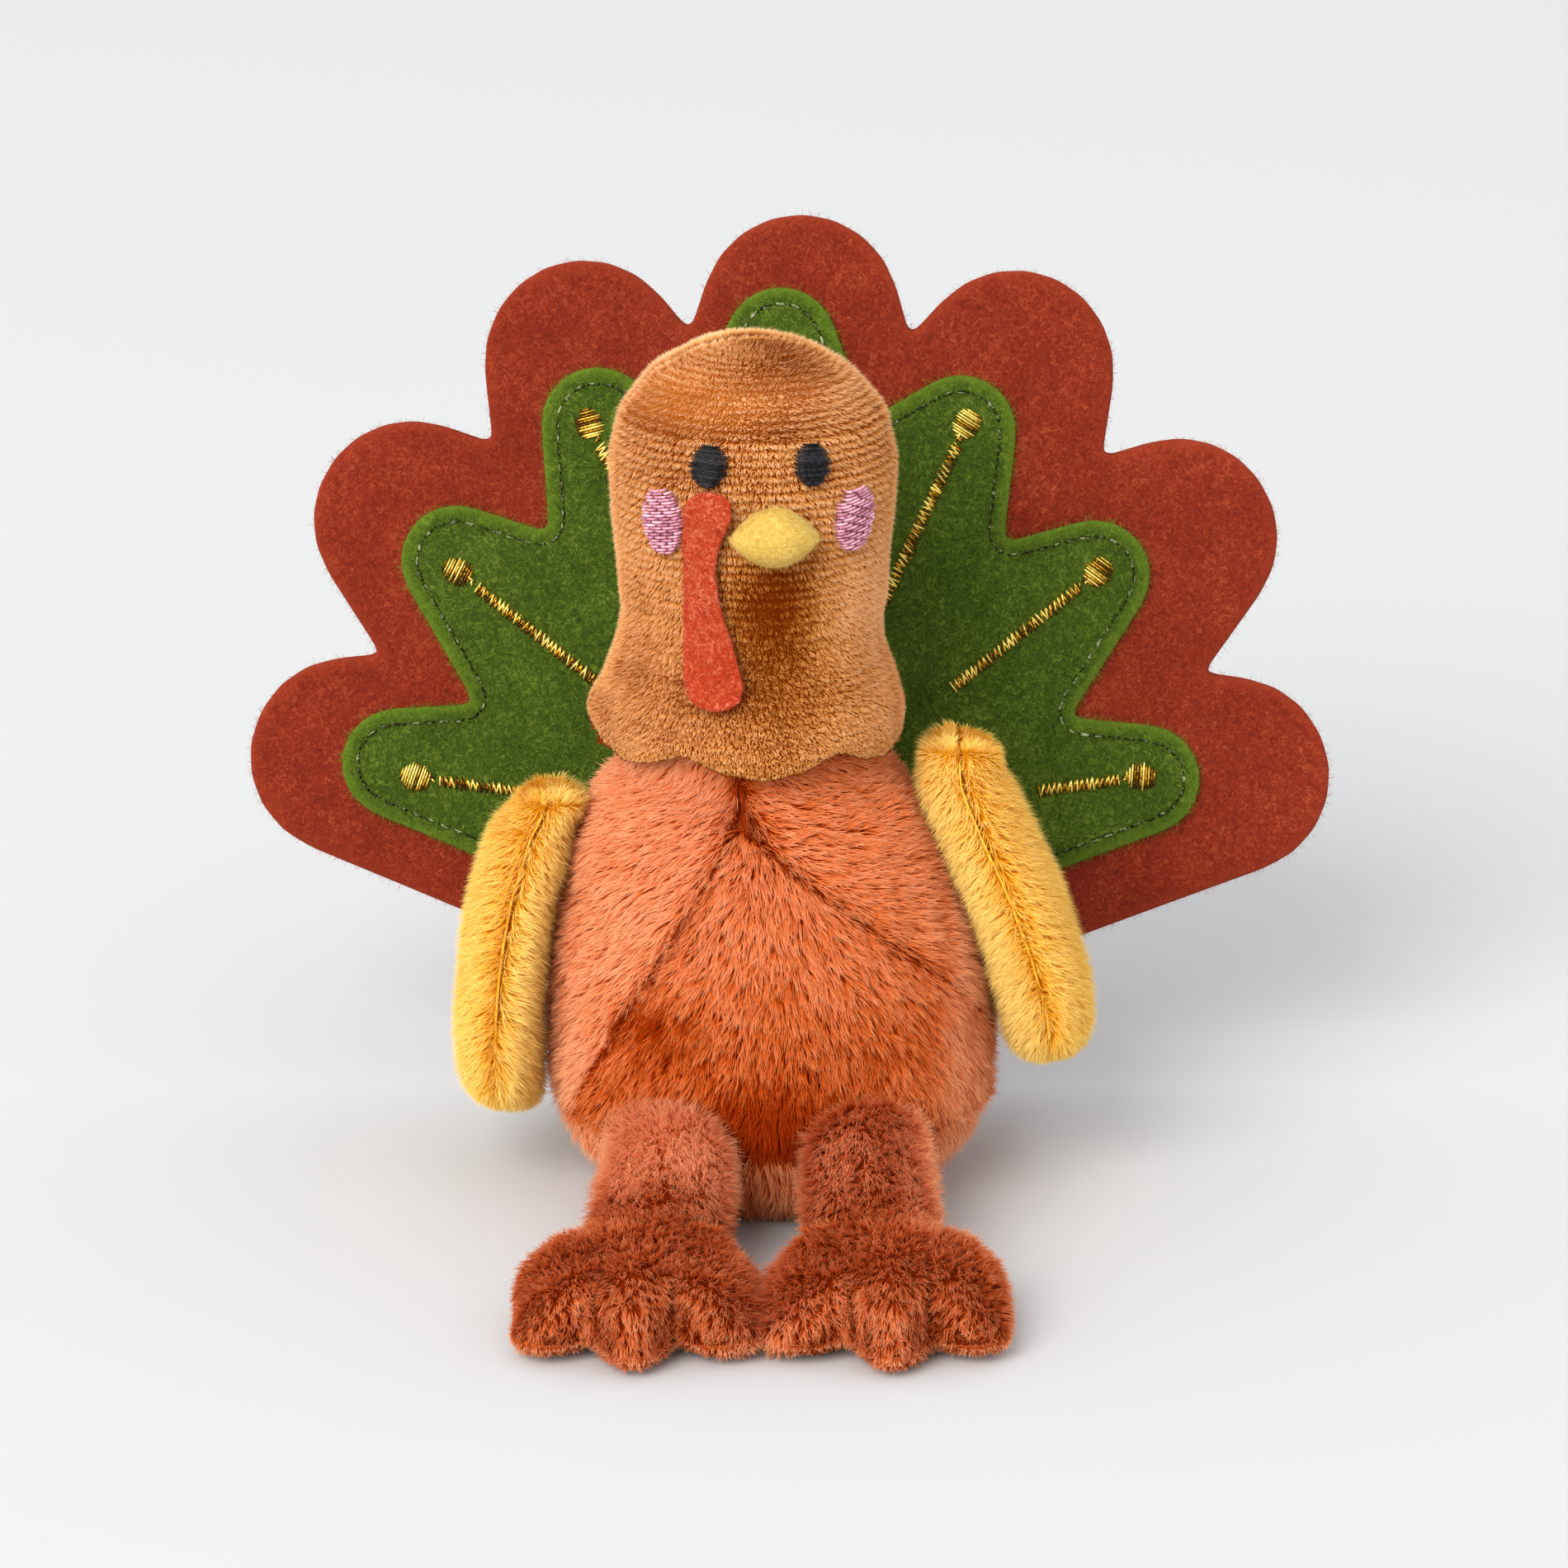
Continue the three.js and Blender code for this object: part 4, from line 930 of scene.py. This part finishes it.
# %% Felt materials
def felt(name, dark, body, pale, edge_code):
    material, tree, shader = new_material(name)
    lot, edge = carried(tree, "lot", "edge")
    mat = noise(tree, 0.9, 6.0, Roughness=0.7, Distortion=1.4)
    cloudy = maths(tree, "MULTIPLY_ADD", noise(tree, 9, 2.0), 0.2, -0.1)
    mottle = maths(tree, "ADD", mat, cloudy)
    level = maths(tree, "MULTIPLY_ADD", maths(tree, "POWER", lot, 2.0), 0.34, mottle)
    shade = ramp(tree, level, (0.3, dark), (0.52, body), (0.95, pale))
    rim = maths(tree, "MULTIPLY", edge, 0.6)
    inputs = {"Factor": rim, 6: shade, 7: colour(edge_code)}
    rimmed = add(tree, "ShaderNodeMix", inputs, data_type="RGBA").outputs[2]
    bump = add(tree, "ShaderNodeBump", {"Height": mat, "Strength": 0.5, "Distance": 0.25 * MM})
    fill(tree, shader, {"Base Color": rimmed, "Normal": bump, "Roughness": 0.9, "Specular IOR Level": 0.2,
                        "Sheen Weight": 0.25, "Sheen Roughness": 0.5, "Sheen Tint": colour(pale)})
    return material


rust_felt = felt("rust_wool_blend_felt", "#5A1305", "#7C220D", "#BE6038", "#8E3016")
green_felt = felt("green_wool_blend_felt", "#1E2F04", "#384E06", "#8EA23C", "#64801A")
orange_felt = felt("orange_wool_blend_felt", "#801E06", "#A8320E", "#EDA07A", "#B4441E")
yellow_felt = felt("yellow_wool_blend_felt", "#AC842C", "#CCA84C", "#EEDA98", "#E0C874")
print("felts:", rust_felt.name, green_felt.name, orange_felt.name, yellow_felt.name)

# %% [markdown]
# The tail is a stack of flat sheets that leans back a little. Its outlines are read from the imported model,
# smoothed, and filled with a fine even mesh, so that the sheets can sag and dip where the stitches pull.

# %% The plane of the tail
TAIL_CENTRE = np.array([2.8, 39.5, 45.6]) * MM


def front_of(node):
    normal = Vector()
    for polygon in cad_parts[node].data.polygons:
        if polygon.normal.y < -0.9:
            normal += polygon.normal * polygon.area
    return normal.normalized()


tail_out = np.array(front_of("tail_green_applique"))
tail_right = np.array([1.0, 0, 0]) - tail_out * tail_out[0]
tail_right /= np.linalg.norm(tail_right)
TAIL_AXES = np.stack([tail_right, np.cross(tail_out, tail_right), tail_out])


def to_tail(points):
    """World places as right, up and out on the plane of the tail."""
    return (np.asarray(points) - TAIL_CENTRE) @ TAIL_AXES.T


def from_tail(flat, height):
    return TAIL_CENTRE + np.column_stack([flat, height]) @ TAIL_AXES


def tail_sag(flat):
    return 0.45 * MM * waves(np.column_stack([flat, 0 * flat[:, 0]]), 55, 3)


def even_steps(line, step, rounds=5):
    """The same closed line in even steps, smoothed a little."""
    closed = np.vstack([line, line[:1]])
    lengths = np.linalg.norm(np.diff(closed, axis=0), axis=1)
    travelled = np.concatenate([[0], np.cumsum(lengths)])
    count = int(travelled[-1] / step)
    marks = np.arange(count) * travelled[-1] / count
    even = np.column_stack([np.interp(marks, travelled, closed[:, i]) for i in range(2)])
    for _ in range(rounds):
        even = even * 0.5 + (np.roll(even, 1, 0) + np.roll(even, -1, 0)) * 0.25
    return even


def outline_of(node, first, step_mm=0.7):
    """The outline of a flat piece on the plane of the tail, anticlockwise, in even steps, and its level.
    The steps begin at the corner with the number first, so that every run gives the same line."""
    work = skin_of(node)
    work.normal_update()
    way = Vector(front_of(node))
    front = [face for face in work.faces if face.normal.dot(way) > 0.98]
    facing = set(front)
    following = {}
    for face in front:
        for loop in face.loops:
            if sum(f in facing for f in loop.edge.link_faces) == 1:
                following[loop.vert] = loop.link_loop_next.vert
    start = vert = list(following)[first]
    line = []
    while True:
        line.append(vert.co.copy())
        vert = following[vert]
        if vert is start:
            break
    flat = to_tail([tuple(p) for p in line])
    work.free()
    return even_steps(flat[:, :2], step_mm * MM), flat[:, 2].mean()


def inwards(line):
    """Unit directions from an anticlockwise outline towards its inside."""
    run = np.roll(line, -1, 0) - np.roll(line, 1, 0)
    return unit(np.column_stack([-run[:, 1], run[:, 0]]))


def inside(line, points):
    x, y = points[:, 0], points[:, 1]
    odd = np.zeros(len(points), bool)
    for (ax, ay), (bx, by) in zip(line, np.roll(line, -1, 0)):
        crosses = (ay > y) != (by > y)
        odd ^= crosses & (x < (bx - ax) * (y - ay) / (by - ay + 1e-12) + ax)
    return odd


print("tail leans", round(np.degrees(asin(tail_out[2])), 1), "degrees")

# %% [markdown]
# A felt sheet is two faces of one fine mesh, joined at a rounded rim. Its loose fibres are a piece of their
# own, so that the sheet itself stays a plain closed sheet.

# %% Felt sheets
def flat_distance(flat, line):
    flat3, line3 = [np.column_stack([part, 0 * part[:, 0]]) for part in (flat, line)]
    return distance_to(flat3, line3)


def filled(line, step):
    """A fine mesh inside an outline: its points and triangles."""
    low, high = line.min(0), line.max(0)
    rows = np.arange(low[1], high[1], step * 0.87)
    grid = [(x + (i % 2) * step / 2, y) for i, y in enumerate(rows) for x in np.arange(low[0], high[0], step)]
    grid = np.array(grid)
    grid = grid[inside(line, grid)]
    grid = grid[flat_distance(grid, line) > 1.3 * MM]
    border = line + inwards(line) * 0.5 * MM
    spots = np.vstack([line, border, grid])
    count = len(line)
    loop = [(i, (i + 1) % count) for i in range(count)]
    flat, _, faces, *_ = delaunay_2d_cdt([Vector(p) for p in spots], loop, [list(range(count))], 1, 1e-7)
    return np.array([tuple(p) for p in flat]), [tuple(f) for f in faces]


def felt_sheet(node, name, material, thick_mm, first, pull=None, grain_mm=2.0):
    """A closed sheet of felt in the place of a flat CAD sheet. pull(far) is how far its front is pulled in
    at each distance from the edge."""
    line, level = outline_of(node, first)
    flat, faces = filled(line, grain_mm * MM)
    far = flat_distance(flat, line)
    round_off = 1 - np.clip(far / (0.5 * MM), 0, 1)
    sag = level + tail_sag(flat)
    dip = 0 if pull is None else pull(far)
    thick = thick_mm * MM
    front = from_tail(flat, sag - dip - 0.3 * thick * round_off)
    back = from_tail(flat, sag - thick + 0.3 * thick * round_off)
    total = len(flat)
    directed = {(f[i], f[(i + 1) % 3]) for f in faces for i in range(3)}
    rim = [(a, b) for a, b in directed if (b, a) not in directed]
    sheet = mesh_object(name, np.vstack([front, back]),
                        faces + [tuple(v + total for v in reversed(f)) for f in faces]
                        + [(b, a, a + total, b + total) for a, b in rim])
    edge = np.exp(-(far / (0.9 * MM)) ** 2)
    write_attribute(sheet.data, "edge", np.concatenate([edge, edge]))
    run_tree(sheet, dress, material=material)
    return sheet, line, level


def dress_tree():
    tree, given, out = new_tree("dress", material=None)
    return dressed(tree, out, given["Geometry"], given["material"])


dress = dress_tree()


def loose_fibres(sheet, name, shown, seed, **settings):
    """Loose fibres on a felt piece, as a piece of their own. shown(points, normals) is 1 where they grow."""
    made = placed(name, sheet.data.copy())
    points, normals = places(made.data), normals_of(made.data)
    chance = np.random.default_rng(seed).normal(size=points.shape)
    write_attribute(made.data, "comb", along_cloth(chance, normals) * 0.3)
    write_attribute(made.data, "pile", shown(points, normals))
    return run_tree(made, pile, seed=seed, keep_cloth=False, **settings)


print("felt helpers ready")

# %% [markdown]
# Four sheets make the tail: green felt in front, rust felt before and behind, and a stiff cloth between the
# rust ones. The front of the green one is pulled in along its line of stitches.

# %% The tail's sheets
STITCH_INSET = 2.6 * MM
FELT_MM = 1.2


def stitched(far):
    pulled = 0.38 * np.exp(-((far - STITCH_INSET) / (0.8 * MM)) ** 2)
    lifted = 0.12 * np.exp(-(far / (1.0 * MM)) ** 2)
    return (pulled - lifted) * MM


def to_the_front(points, normals):
    return np.where(normals @ tail_out > -0.2, 1.0, 0.0)


def to_the_back(points, normals):
    return np.where(normals @ tail_out < 0.2, 1.0, 0.0)


felt_fibres = dict(joints=3, length_mm=2.0, width_mm=0.055, root_lean=0.0, bend=1.0, lock_mm=1.0,
                   lock_pull=0.0, mess=3.2, swirl_mm=5.0, swirl=1.5)
sheets = {}
for node, name, material, slot, first, pull, shown, per_mm2, seed in (
        ("tail_green_applique", "tail_green", green_felt, "green_felt", 94, stitched, to_the_front, 2.1, 51),
        ("tail_rust_front", "tail_rust_front", rust_felt, "rust_felt", 75, None, to_the_front, 1.1, 52),
        ("tail_rust_back", "tail_rust_back", rust_felt, "rust_felt", 74, None, to_the_back, 0.4, 53)):
    sheet, line, level = felt_sheet(node, name + "_felt", material, FELT_MM, first, pull)
    settings = dict(material=material, per_mm2=per_mm2, **felt_fibres)
    fibres = loose_fibres(sheet, name + "_felt_fibres", shown, seed, **settings)
    take_part(sheet, slot, "body", node)
    take_part(fibres, slot, "body")
    sheets[node] = (sheet, line, level, [fibres])
stiff_cloth = felt("stiff_interlining", "#B9B6AE", "#D8D5CC", "#EFEDE6", "#E4E1D8")
sheet, line, level = felt_sheet("tail_interlining", "tail_stiff_sheet", stiff_cloth, 1.0, 36, grain_mm=5.0)
take_part(sheet, "interlining", "body", "tail_interlining")
sheets["tail_interlining"] = (sheet, line, level, [])
for node, (sheet, line, level, fibres) in sheets.items():
    width, height = line.max(0) - line.min(0)
    print(sheet.name, round(width / MM), "x", round(height / MM), "mm")
green_line, green_level = sheets["tail_green_applique"][1:3]

# %% [markdown]
# Every stitch is a length of thread. Each is drawn as a line of points that dips into the felt at both ends,
# and one tree turns the lines into round thread.

# %% Threads
def thread_tree():
    tree, given, out = new_tree("thread", thickness_mm=0.4, sides=6, material=None)
    line = add(tree, "GeometryNodeMeshToCurve", {"Mesh": given["Geometry"]})
    radius = maths(tree, "MULTIPLY", given["thickness_mm"], 0.5 * MM)
    ring = add(tree, "GeometryNodeCurvePrimitiveCircle", {"Resolution": given["sides"], "Radius": radius})
    inputs = {"Curve": line, "Profile Curve": ring, "Scale": read(tree, "girth"), "Fill Caps": True}
    return dressed(tree, out, add(tree, "GeometryNodeCurveToMesh", inputs), given["material"])


thread = thread_tree()


def sew(name, lines, seed, slot, body, node=None, **settings):
    """Makes thread of a list of lines, each an array of places."""
    chance = np.random.default_rng(seed)
    points, edges, tips, lots, girths = [], [], [], [], []
    for line in lines:
        first = len(points)
        share = np.linspace(0, 1, len(line))
        points.extend(line)
        edges.extend((first + i, first + i + 1) for i in range(len(line) - 1))
        tips.extend(share)
        lots.extend([chance.random()] * len(line))
        girths.extend(chance.uniform(0.85, 1.1) * (0.6 + 0.4 * np.sin(pi * share) ** 0.4))
    made = mesh_object(name, points, [], edges)
    for label, values in (("tip", tips), ("lot", lots), ("girth", girths)):
        write_attribute(made.data, label, values)
    run_tree(made, thread, **settings)
    take_part(made, slot, body, node)


def thread_finish(name, dark, body, pale, roughness, metal=0.0, twist_mm=0.5, gloss=0.5, spread=0.3, ends=0.0,
                  crest_highlight=0.0):
    """Thread of twisted filaments. spread is how much the stitches differ, ends how much darker a stitch is
    painted where it dives into the cloth, a painted shade, and crest how much paler it grows towards its upper
    end, a painted highlight on its lit side."""
    material, tree, shader = new_material(name)
    along, lot = carried(tree, "tip", "lot")
    # The glint noise paints glints along the twist, and spread makes some whole stitches paler, also painted
    # glints, and others darker.
    glint = noise(tree, twist_mm, 3.0, Roughness=0.7)
    middle = maths(tree, "MULTIPLY_ADD", along, 2.0, -1.0)
    squared = maths(tree, "MULTIPLY", middle, middle)
    dive = maths(tree, "MULTIPLY", squared, squared)
    level = maths(tree, "ADD", glint, 0.15 - spread / 2)
    level = weigh_in(tree, level, (lot, spread), (dive, -ends), (middle, crest_highlight))
    shade = ramp(tree, level, (0.42, dark), (0.62, body), (0.85, pale))
    bump = add(tree, "ShaderNodeBump", {"Height": glint, "Strength": 0.6, "Distance": 0.15 * MM})
    fill(tree, shader, {"Base Color": shade, "Normal": bump, "Roughness": roughness, "Metallic": metal,
                        "Specular IOR Level": gloss})
    return material


# The pale stop of each thread is mostly painted glint, and ends paints a stitch darker where it dives into the
# cloth: painted shade. The gold is also painted paler towards each thread's upper end: a painted highlight.
green_thread = thread_finish("dark_green_sewing_thread", "#0A0804", "#2E3610", "#A8B488", 0.6, twist_mm=0.6,
                             gloss=0.1, ends=0.7)
gold_thread = thread_finish("gold_metallic_thread", "#4E2C02", "#C88E12", "#FFE878", 0.32, metal=0.8,
                            spread=0.6, ends=0.5, crest_highlight=0.2)
black_satin = thread_finish("black_rayon_satin_thread", "#010101", "#050506", "#2E2E33", 0.4, gloss=0.22)
pink_satin = thread_finish("pink_rayon_satin_thread", "#8E4A66", "#CA8499", "#F0B8CA", 0.4, twist_mm=0.8,
                           ends=0.25)
yellow_thread = thread_finish("yellow_polyester_sewing_thread", "#DE9C18", "#EAAE2C", "#F6C44C", 0.9,
                              twist_mm=0.9, gloss=0.1)
for side, edge in wing_edges.items():
    sew(f"wing_{side}_seam_edge", [edge], 7, "yellow_plush", f"wing_{side}", thickness_mm=0.4, sides=8,
        material=yellow_thread)

# %% [markdown]
# The green felt is sewn on with one line of lockstitch. Each stitch shows as two plies of thread twisted
# round each other, and both ends sink into the felt.

# %% The stitches round the green felt
STITCH_PITCH = 2.5 * MM
STEP = 0.25 * MM
PLY_OFF = 0.11 * MM
PLY_TURN = 2.6


def stitch_line():
    path = even_steps(green_line + inwards(green_line) * STITCH_INSET, STEP, 8)
    run = unit(np.roll(path, -1, 0) - np.roll(path, 1, 0))
    across = np.column_stack([-run[:, 1], run[:, 0]])
    chance = np.random.default_rng(5)
    each = STITCH_PITCH / STEP
    share = np.linspace(0, 1, 9)
    plies = []
    for i in range(int(len(path) / each)):
        at = (i * each + 0.6 + share * (each - 1.2) + chance.uniform(-0.4, 0.4)) % len(path)
        low = at.astype(int)
        rest = (at - low)[:, None]
        spot = path[low] * (1 - rest) + path[(low + 1) % len(path)] * rest
        height = green_level + tail_sag(spot) + (0.34 * np.sin(pi * share) ** 0.5 - 0.42) * MM
        slant = chance.uniform(-0.16, 0.16) * (share - 0.5) * MM
        start = chance.uniform(0, 6)
        for ply in (0, pi):
            turn = start + ply + share * PLY_TURN
            flat = spot + across[low] * (slant + PLY_OFF * np.cos(turn))[:, None]
            plies.append(from_tail(flat, height + PLY_OFF * np.sin(turn)))
    return plies


sew("tail_lockstitch", stitch_line(), 6, "green_thread", "body", "tail_stitch_thread", thickness_mm=0.32,
    sides=5, material=green_thread)

# %% [markdown]
# The gold marks are satin stitch: short threads laid side by side across each mark, so close that they make a
# raised bar. Its bright and dark sides are painted too: each thread is painted paler towards its upper end, a
# painted highlight, and darker where it dives in, a painted shade. Each ends in a round dot, sewn at another
# slant.

# %% The gold embroidery
GOLD_PITCH = 0.44 * MM
GOLD_RISE = 0.45
DOT_RADIUS = 2.7
DOT_PITCH = 0.46
DOT_SLANTS = (12, -15, 8, 14, -10, 12, -12)


def gold_mark(index, dot_slant):
    node = f"tail_gold_embroidery_{index}"
    flat = to_tail(places(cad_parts[node].data))[:, :2]
    middle = flat.mean(0)
    way = np.linalg.svd(flat - middle)[2][0]
    way = way if way @ middle > 0 else -way
    across = np.array([-way[1], way[0]]) * (1 if way[0] > 0 else -1)
    reach = (flat - middle) @ way
    axis = middle + across * ((flat - middle) @ across)[reach > reach.max() - 4 * MM].mean()
    start, dot = reach.min(), reach.max() - 2.5 * MM
    chance = np.random.default_rng(60 + index)
    lines = []

    def lay(centre, half, way_across):
        share = np.linspace(-1, 1, 7)
        spot = centre + np.outer(share * half, way_across)
        rise = (GOLD_RISE * (1 - share ** 4) - 0.25 + chance.uniform(0, 0.12)) * MM
        lines.append(from_tail(spot, green_level + tail_sag(spot) + rise))

    # The bar runs up to the dot, and a thread or two jumps across to it.
    s = start + 0.2 * MM
    while s < dot - 3.9 * MM:
        slant = way * (chance.uniform(0.35, 0.6) if len(lines) % 2 else chance.uniform(-0.1, 0.15))
        lay(axis + way * s, chance.uniform(1.05, 1.3) * MM, unit((across + slant)[None])[0])
        s += GOLD_PITCH * chance.uniform(0.85, 1.15)
    lay(axis + way * (dot - 3.0 * MM), 0.5 * MM, unit((across + way)[None])[0])
    jump = axis + way * (dot - 2.9 * MM) + across * 0.5 * MM
    lay(jump + way * 0.4 * MM, 0.8 * MM, way)
    turned = across * cos(dot_slant) + way * sin(dot_slant)
    along = np.array([turned[1], -turned[0]])
    centre = axis + way * dot
    for t in np.arange(-2.5, 2.55, DOT_PITCH):
        half = sqrt(max(DOT_RADIUS ** 2 - t ** 2, 0.4)) * MM * chance.uniform(0.88, 1.05)
        lay(centre + along * (t + chance.uniform(-0.05, 0.05)) * MM, half, turned)
    sew(f"tail_gold_mark_{index}", lines, 70 + index, "gold_thread", "body", node, thickness_mm=0.43, sides=5,
        material=gold_thread)


for index, slant in enumerate(DOT_SLANTS, 1):
    gold_mark(index, radians(slant))

# %% [markdown]
# The eyes and cheeks are satin stitch too, sewn through the head's plush. The eye's threads lie level, and
# the cheek's rise to the right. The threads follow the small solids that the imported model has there.

# %% Eyes and cheeks
def satin_patch(node, slant, pitch_mm, thread_mm, material, slot, seed, rise_mm, stitch_mm=None, grow=0.96,
                ragged=0.14):
    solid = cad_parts[node].data
    faces = [tuple(p.vertices) for p in solid.polygons]
    surface = BVHTree.FromPolygons([v.co for v in solid.vertices], faces)
    points = places(solid)
    middle = (points.min(0) + points.max(0)) / 2
    size = (points.max(0) - points.min(0)) / 2
    front = np.sum([np.array(p.normal) * p.area for p in solid.polygons if p.normal.y < -0.3], 0)
    out = front / np.linalg.norm(front)
    way = np.array([cos(slant), 0, sin(slant)])
    up = np.array([-sin(slant), 0, cos(slant)])
    chance = np.random.default_rng(seed)
    reach = hypot(size[0] * up[0], size[2] * up[2])
    share = np.linspace(0, 1, 9)
    lines = []

    def seen(spot):
        """Where the solid is, seen from the front through a spot, or None beside it."""
        return surface.ray_cast(Vector((spot[0], -0.1, spot[2])), Vector((0, 1, 0)))[0]

    for number, t in enumerate(np.arange(-reach + 0.12 * MM, reach, pitch_mm * MM)):
        row = middle + up * t * grow
        ends = []
        for side in (-1, 1):
            step = 0.0
            while step < 2 * size.max() and seen(row + way * side * step) is not None:
                step += 0.1 * MM
            ends.append(side * step * (1.05 - ragged * chance.uniform(0.0, 1.35)))
        wide = ends[1] - ends[0]
        if wide < 0.6 * MM:
            continue
        line = []
        for s in share:
            spot = row + way * (ends[0] + wide * s) * grow
            hit = seen(spot)
            y = hit.y if hit else (line[-1][1] if line else middle[1])
            line.append(np.array([spot[0], y, spot[2]]))
        line = np.array(line)
        line[0, 1] = line[1, 1]
        rise = rise_mm * (1 - (2 * share - 1) ** 4) - 0.9 + chance.uniform(0, 0.08)
        line = line + out * (rise * MM)[:, None]
        if stitch_mm is None:
            lines.append(line)
            continue
        # Each stitch of the row dives into the cloth, and the next comes up beside it.
        run = wide / (stitch_mm * MM)
        cuts = [0.0, *((np.arange(1, run + 1) - (number * 0.38) % 1) / run), 1.0]
        cuts = [c for c in cuts if 0.0 <= c <= 1.0]
        for first, last in zip(cuts, cuts[1:]):
            if (last - first) * run < 0.2:
                continue
            part = np.linspace(first, last, 7)
            bent = np.column_stack([np.interp(part, share, line[:, i]) for i in range(3)])
            dive = 0.5 * (2 * np.linspace(0, 1, 7) - 1) ** 6
            lines.append(bent - out * (dive * MM)[:, None])
    sew(node + "_satin", lines, seed, slot, "head", node, thickness_mm=thread_mm, sides=6, material=material)


for side, cheek_size in (("left", 1.04), ("right", 1.08)):
    satin_patch(f"eye_{side}", radians(-3), 0.32, 0.38, black_satin, "black_satin", 81, 0.75)
    satin_patch(f"cheek_{side}", radians(12), 0.48, 0.47, pink_satin, "pink_satin", 83, 0.65, stitch_mm=2.0,
                grow=cheek_size, ragged=0.05)

# %% [markdown]
# The beak is two small pieces of yellow felt sewn together and filled, and the snood is one long strip of
# orange felt that hangs from its sewn top.

# %% Beak and snood
def felt_pad(node, material, slot, body, seed, grain_mm, rounds, fibres, shaped=as_it_is):
    name = node + "_felt"
    made = even_copy(node, name, grain_mm, rounds)
    points, normals = places(made.data), normals_of(made.data)
    points = points + normals * (0.08 * MM * waves(points, 4, seed))[:, None]
    move_to(made.data, shaped(points, normals))
    write_attribute(made.data, "edge", np.zeros(len(points)))
    run_tree(made, dress, material=material)
    settings = {**felt_fibres, **fibres, "material": material}
    hair = loose_fibres(made, name + "_fibres", all_round, seed, **settings)
    take_part(made, slot, body, node)
    take_part(hair, slot, body)
    return made, hair


beak_low, beak_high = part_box("beak_lower")
BEAK_X = (beak_low[0] + beak_high[0]) / 2
BEAK_HALF = (beak_high[0] - beak_low[0]) / 2
BEAK_SEAM = beak_high[2]


def pinched(points, normals):
    """Draws the beak in towards its two corners, and closes the seam between its halves."""
    across = np.clip(np.abs(points[:, 0] - BEAK_X) / BEAK_HALF, 0, 1)
    height = points[:, 2] - BEAK_SEAM
    height = height * (1 - 0.5 * across ** 2.5)
    near = np.exp(-(height / (0.9 * MM)) ** 2)
    points[:, 2] = BEAK_SEAM + height - np.sign(height) * 0.4 * MM * near
    return points


short = dict(per_mm2=9.0, length_mm=0.8, width_mm=0.05)
for half in ("upper", "lower"):
    felt_pad(f"beak_{half}", yellow_felt, "yellow_felt", "head", 91, 0.35, 4, short, pinched)
made, hair = felt_pad("snood", orange_felt, "orange_felt", "snood", 93, 0.3, 2,
                      {**short, "per_mm2": 6.0, "length_mm": 1.1})

# %% [markdown]
# Where two panels are sewn together, five millimetres of each turn inwards. These seam allowances close the
# seam from behind, so nothing pale shows through it. They follow the filling's skin along every seam.

# %% Seam allowances
ALLOWANCE = 5 * MM


def seam_allowance(body, panels, material, slot):
    made = even_copy(body + "_stuffing", body + "_seam_allowance", 1.7, 2)
    points = places(made.data)
    walls = np.vstack([wall_points(bpy.data.objects[f"{body}_{panel}_plush"]) for panel in panels])
    near = distance_to(points, walls) < ALLOWANCE
    work = bmesh.new()
    work.from_mesh(made.data)
    away = [face for face in work.faces if not all(near[v.index] for v in face.verts)]
    bmesh.ops.delete(work, geom=away, context="FACES")
    work.to_mesh(made.data)
    work.free()
    move_to(made.data, places(made.data) + normals_of(made.data) * 0.3 * MM)
    wall = made.modifiers.new("cloth", "SOLIDIFY")
    wall.thickness = 0.3 * MM
    wall.offset = 1.0
    settle(made)
    run_tree(made, dress, material=material)
    take_part(made, slot, body)


seam_allowance("body", ("belly", "left", "right", "base"), coral_plush, "coral_plush")
seam_allowance("head", ("front", "back"), caramel_plush, "caramel_plush")
for side in ("left", "right"):
    seam_allowance(f"wing_{side}", ("outer", "inner"), yellow_plush, "yellow_plush")
    seam_allowance(f"leg_{side}", ("upper", "sole"), brown_plush, "brown_plush")

# %% [markdown]
# Inside, each form is packed with fibre filling, and a bag of pellets weighs the base down. Nobody sees them
# until a seam opens, but they are part of how the toy is made.

# %% The filling
filling = felt("hollow_polyester_fibre", "#D9D9D6", "#F1F1EE", "#FFFFFF", "#FFFFFF")
bag_weave = felt("cotton_bag_cloth", "#BDB6A6", "#DAD4C6", "#EEEADF", "#EEEADF")
pellets = felt("polypropylene_pellets", "#C9CCCF", "#E4E7EA", "#FFFFFF", "#FFFFFF")
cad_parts["pellet_fill"].data.materials.clear()
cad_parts["pellet_fill"].data.materials.append(pellets)


def packed(node, name, body, slot="fibre_filling", material=filling, grain=2.0):
    made = even_copy(node, name, grain, 3)
    points, normals = places(made.data), normals_of(made.data)
    move_to(made.data, points + normals * (grain * 0.2 * MM * (waves(points, 9, 3) - 1))[:, None])
    run_tree(made, dress, material=material)
    take_part(made, slot, body, node)


packed("body_stuffing", "body_filling", "body")
packed("head_stuffing", "head_filling", "head")
packed("beak_stuffing", "beak_filling", "head", grain=0.5)
packed("pellet_bag", "pellet_pouch", "body", "bag_cloth", bag_weave)
for limb in ("wing_left", "wing_right", "leg_left", "leg_right"):
    packed(limb + "_stuffing", limb + "_filling", limb)
shown = [made for made in scene.objects if made.type == "MESH" and not made.hide_render]
print("filling done;", sum(triangles(made) for made in shown), "triangles in all")
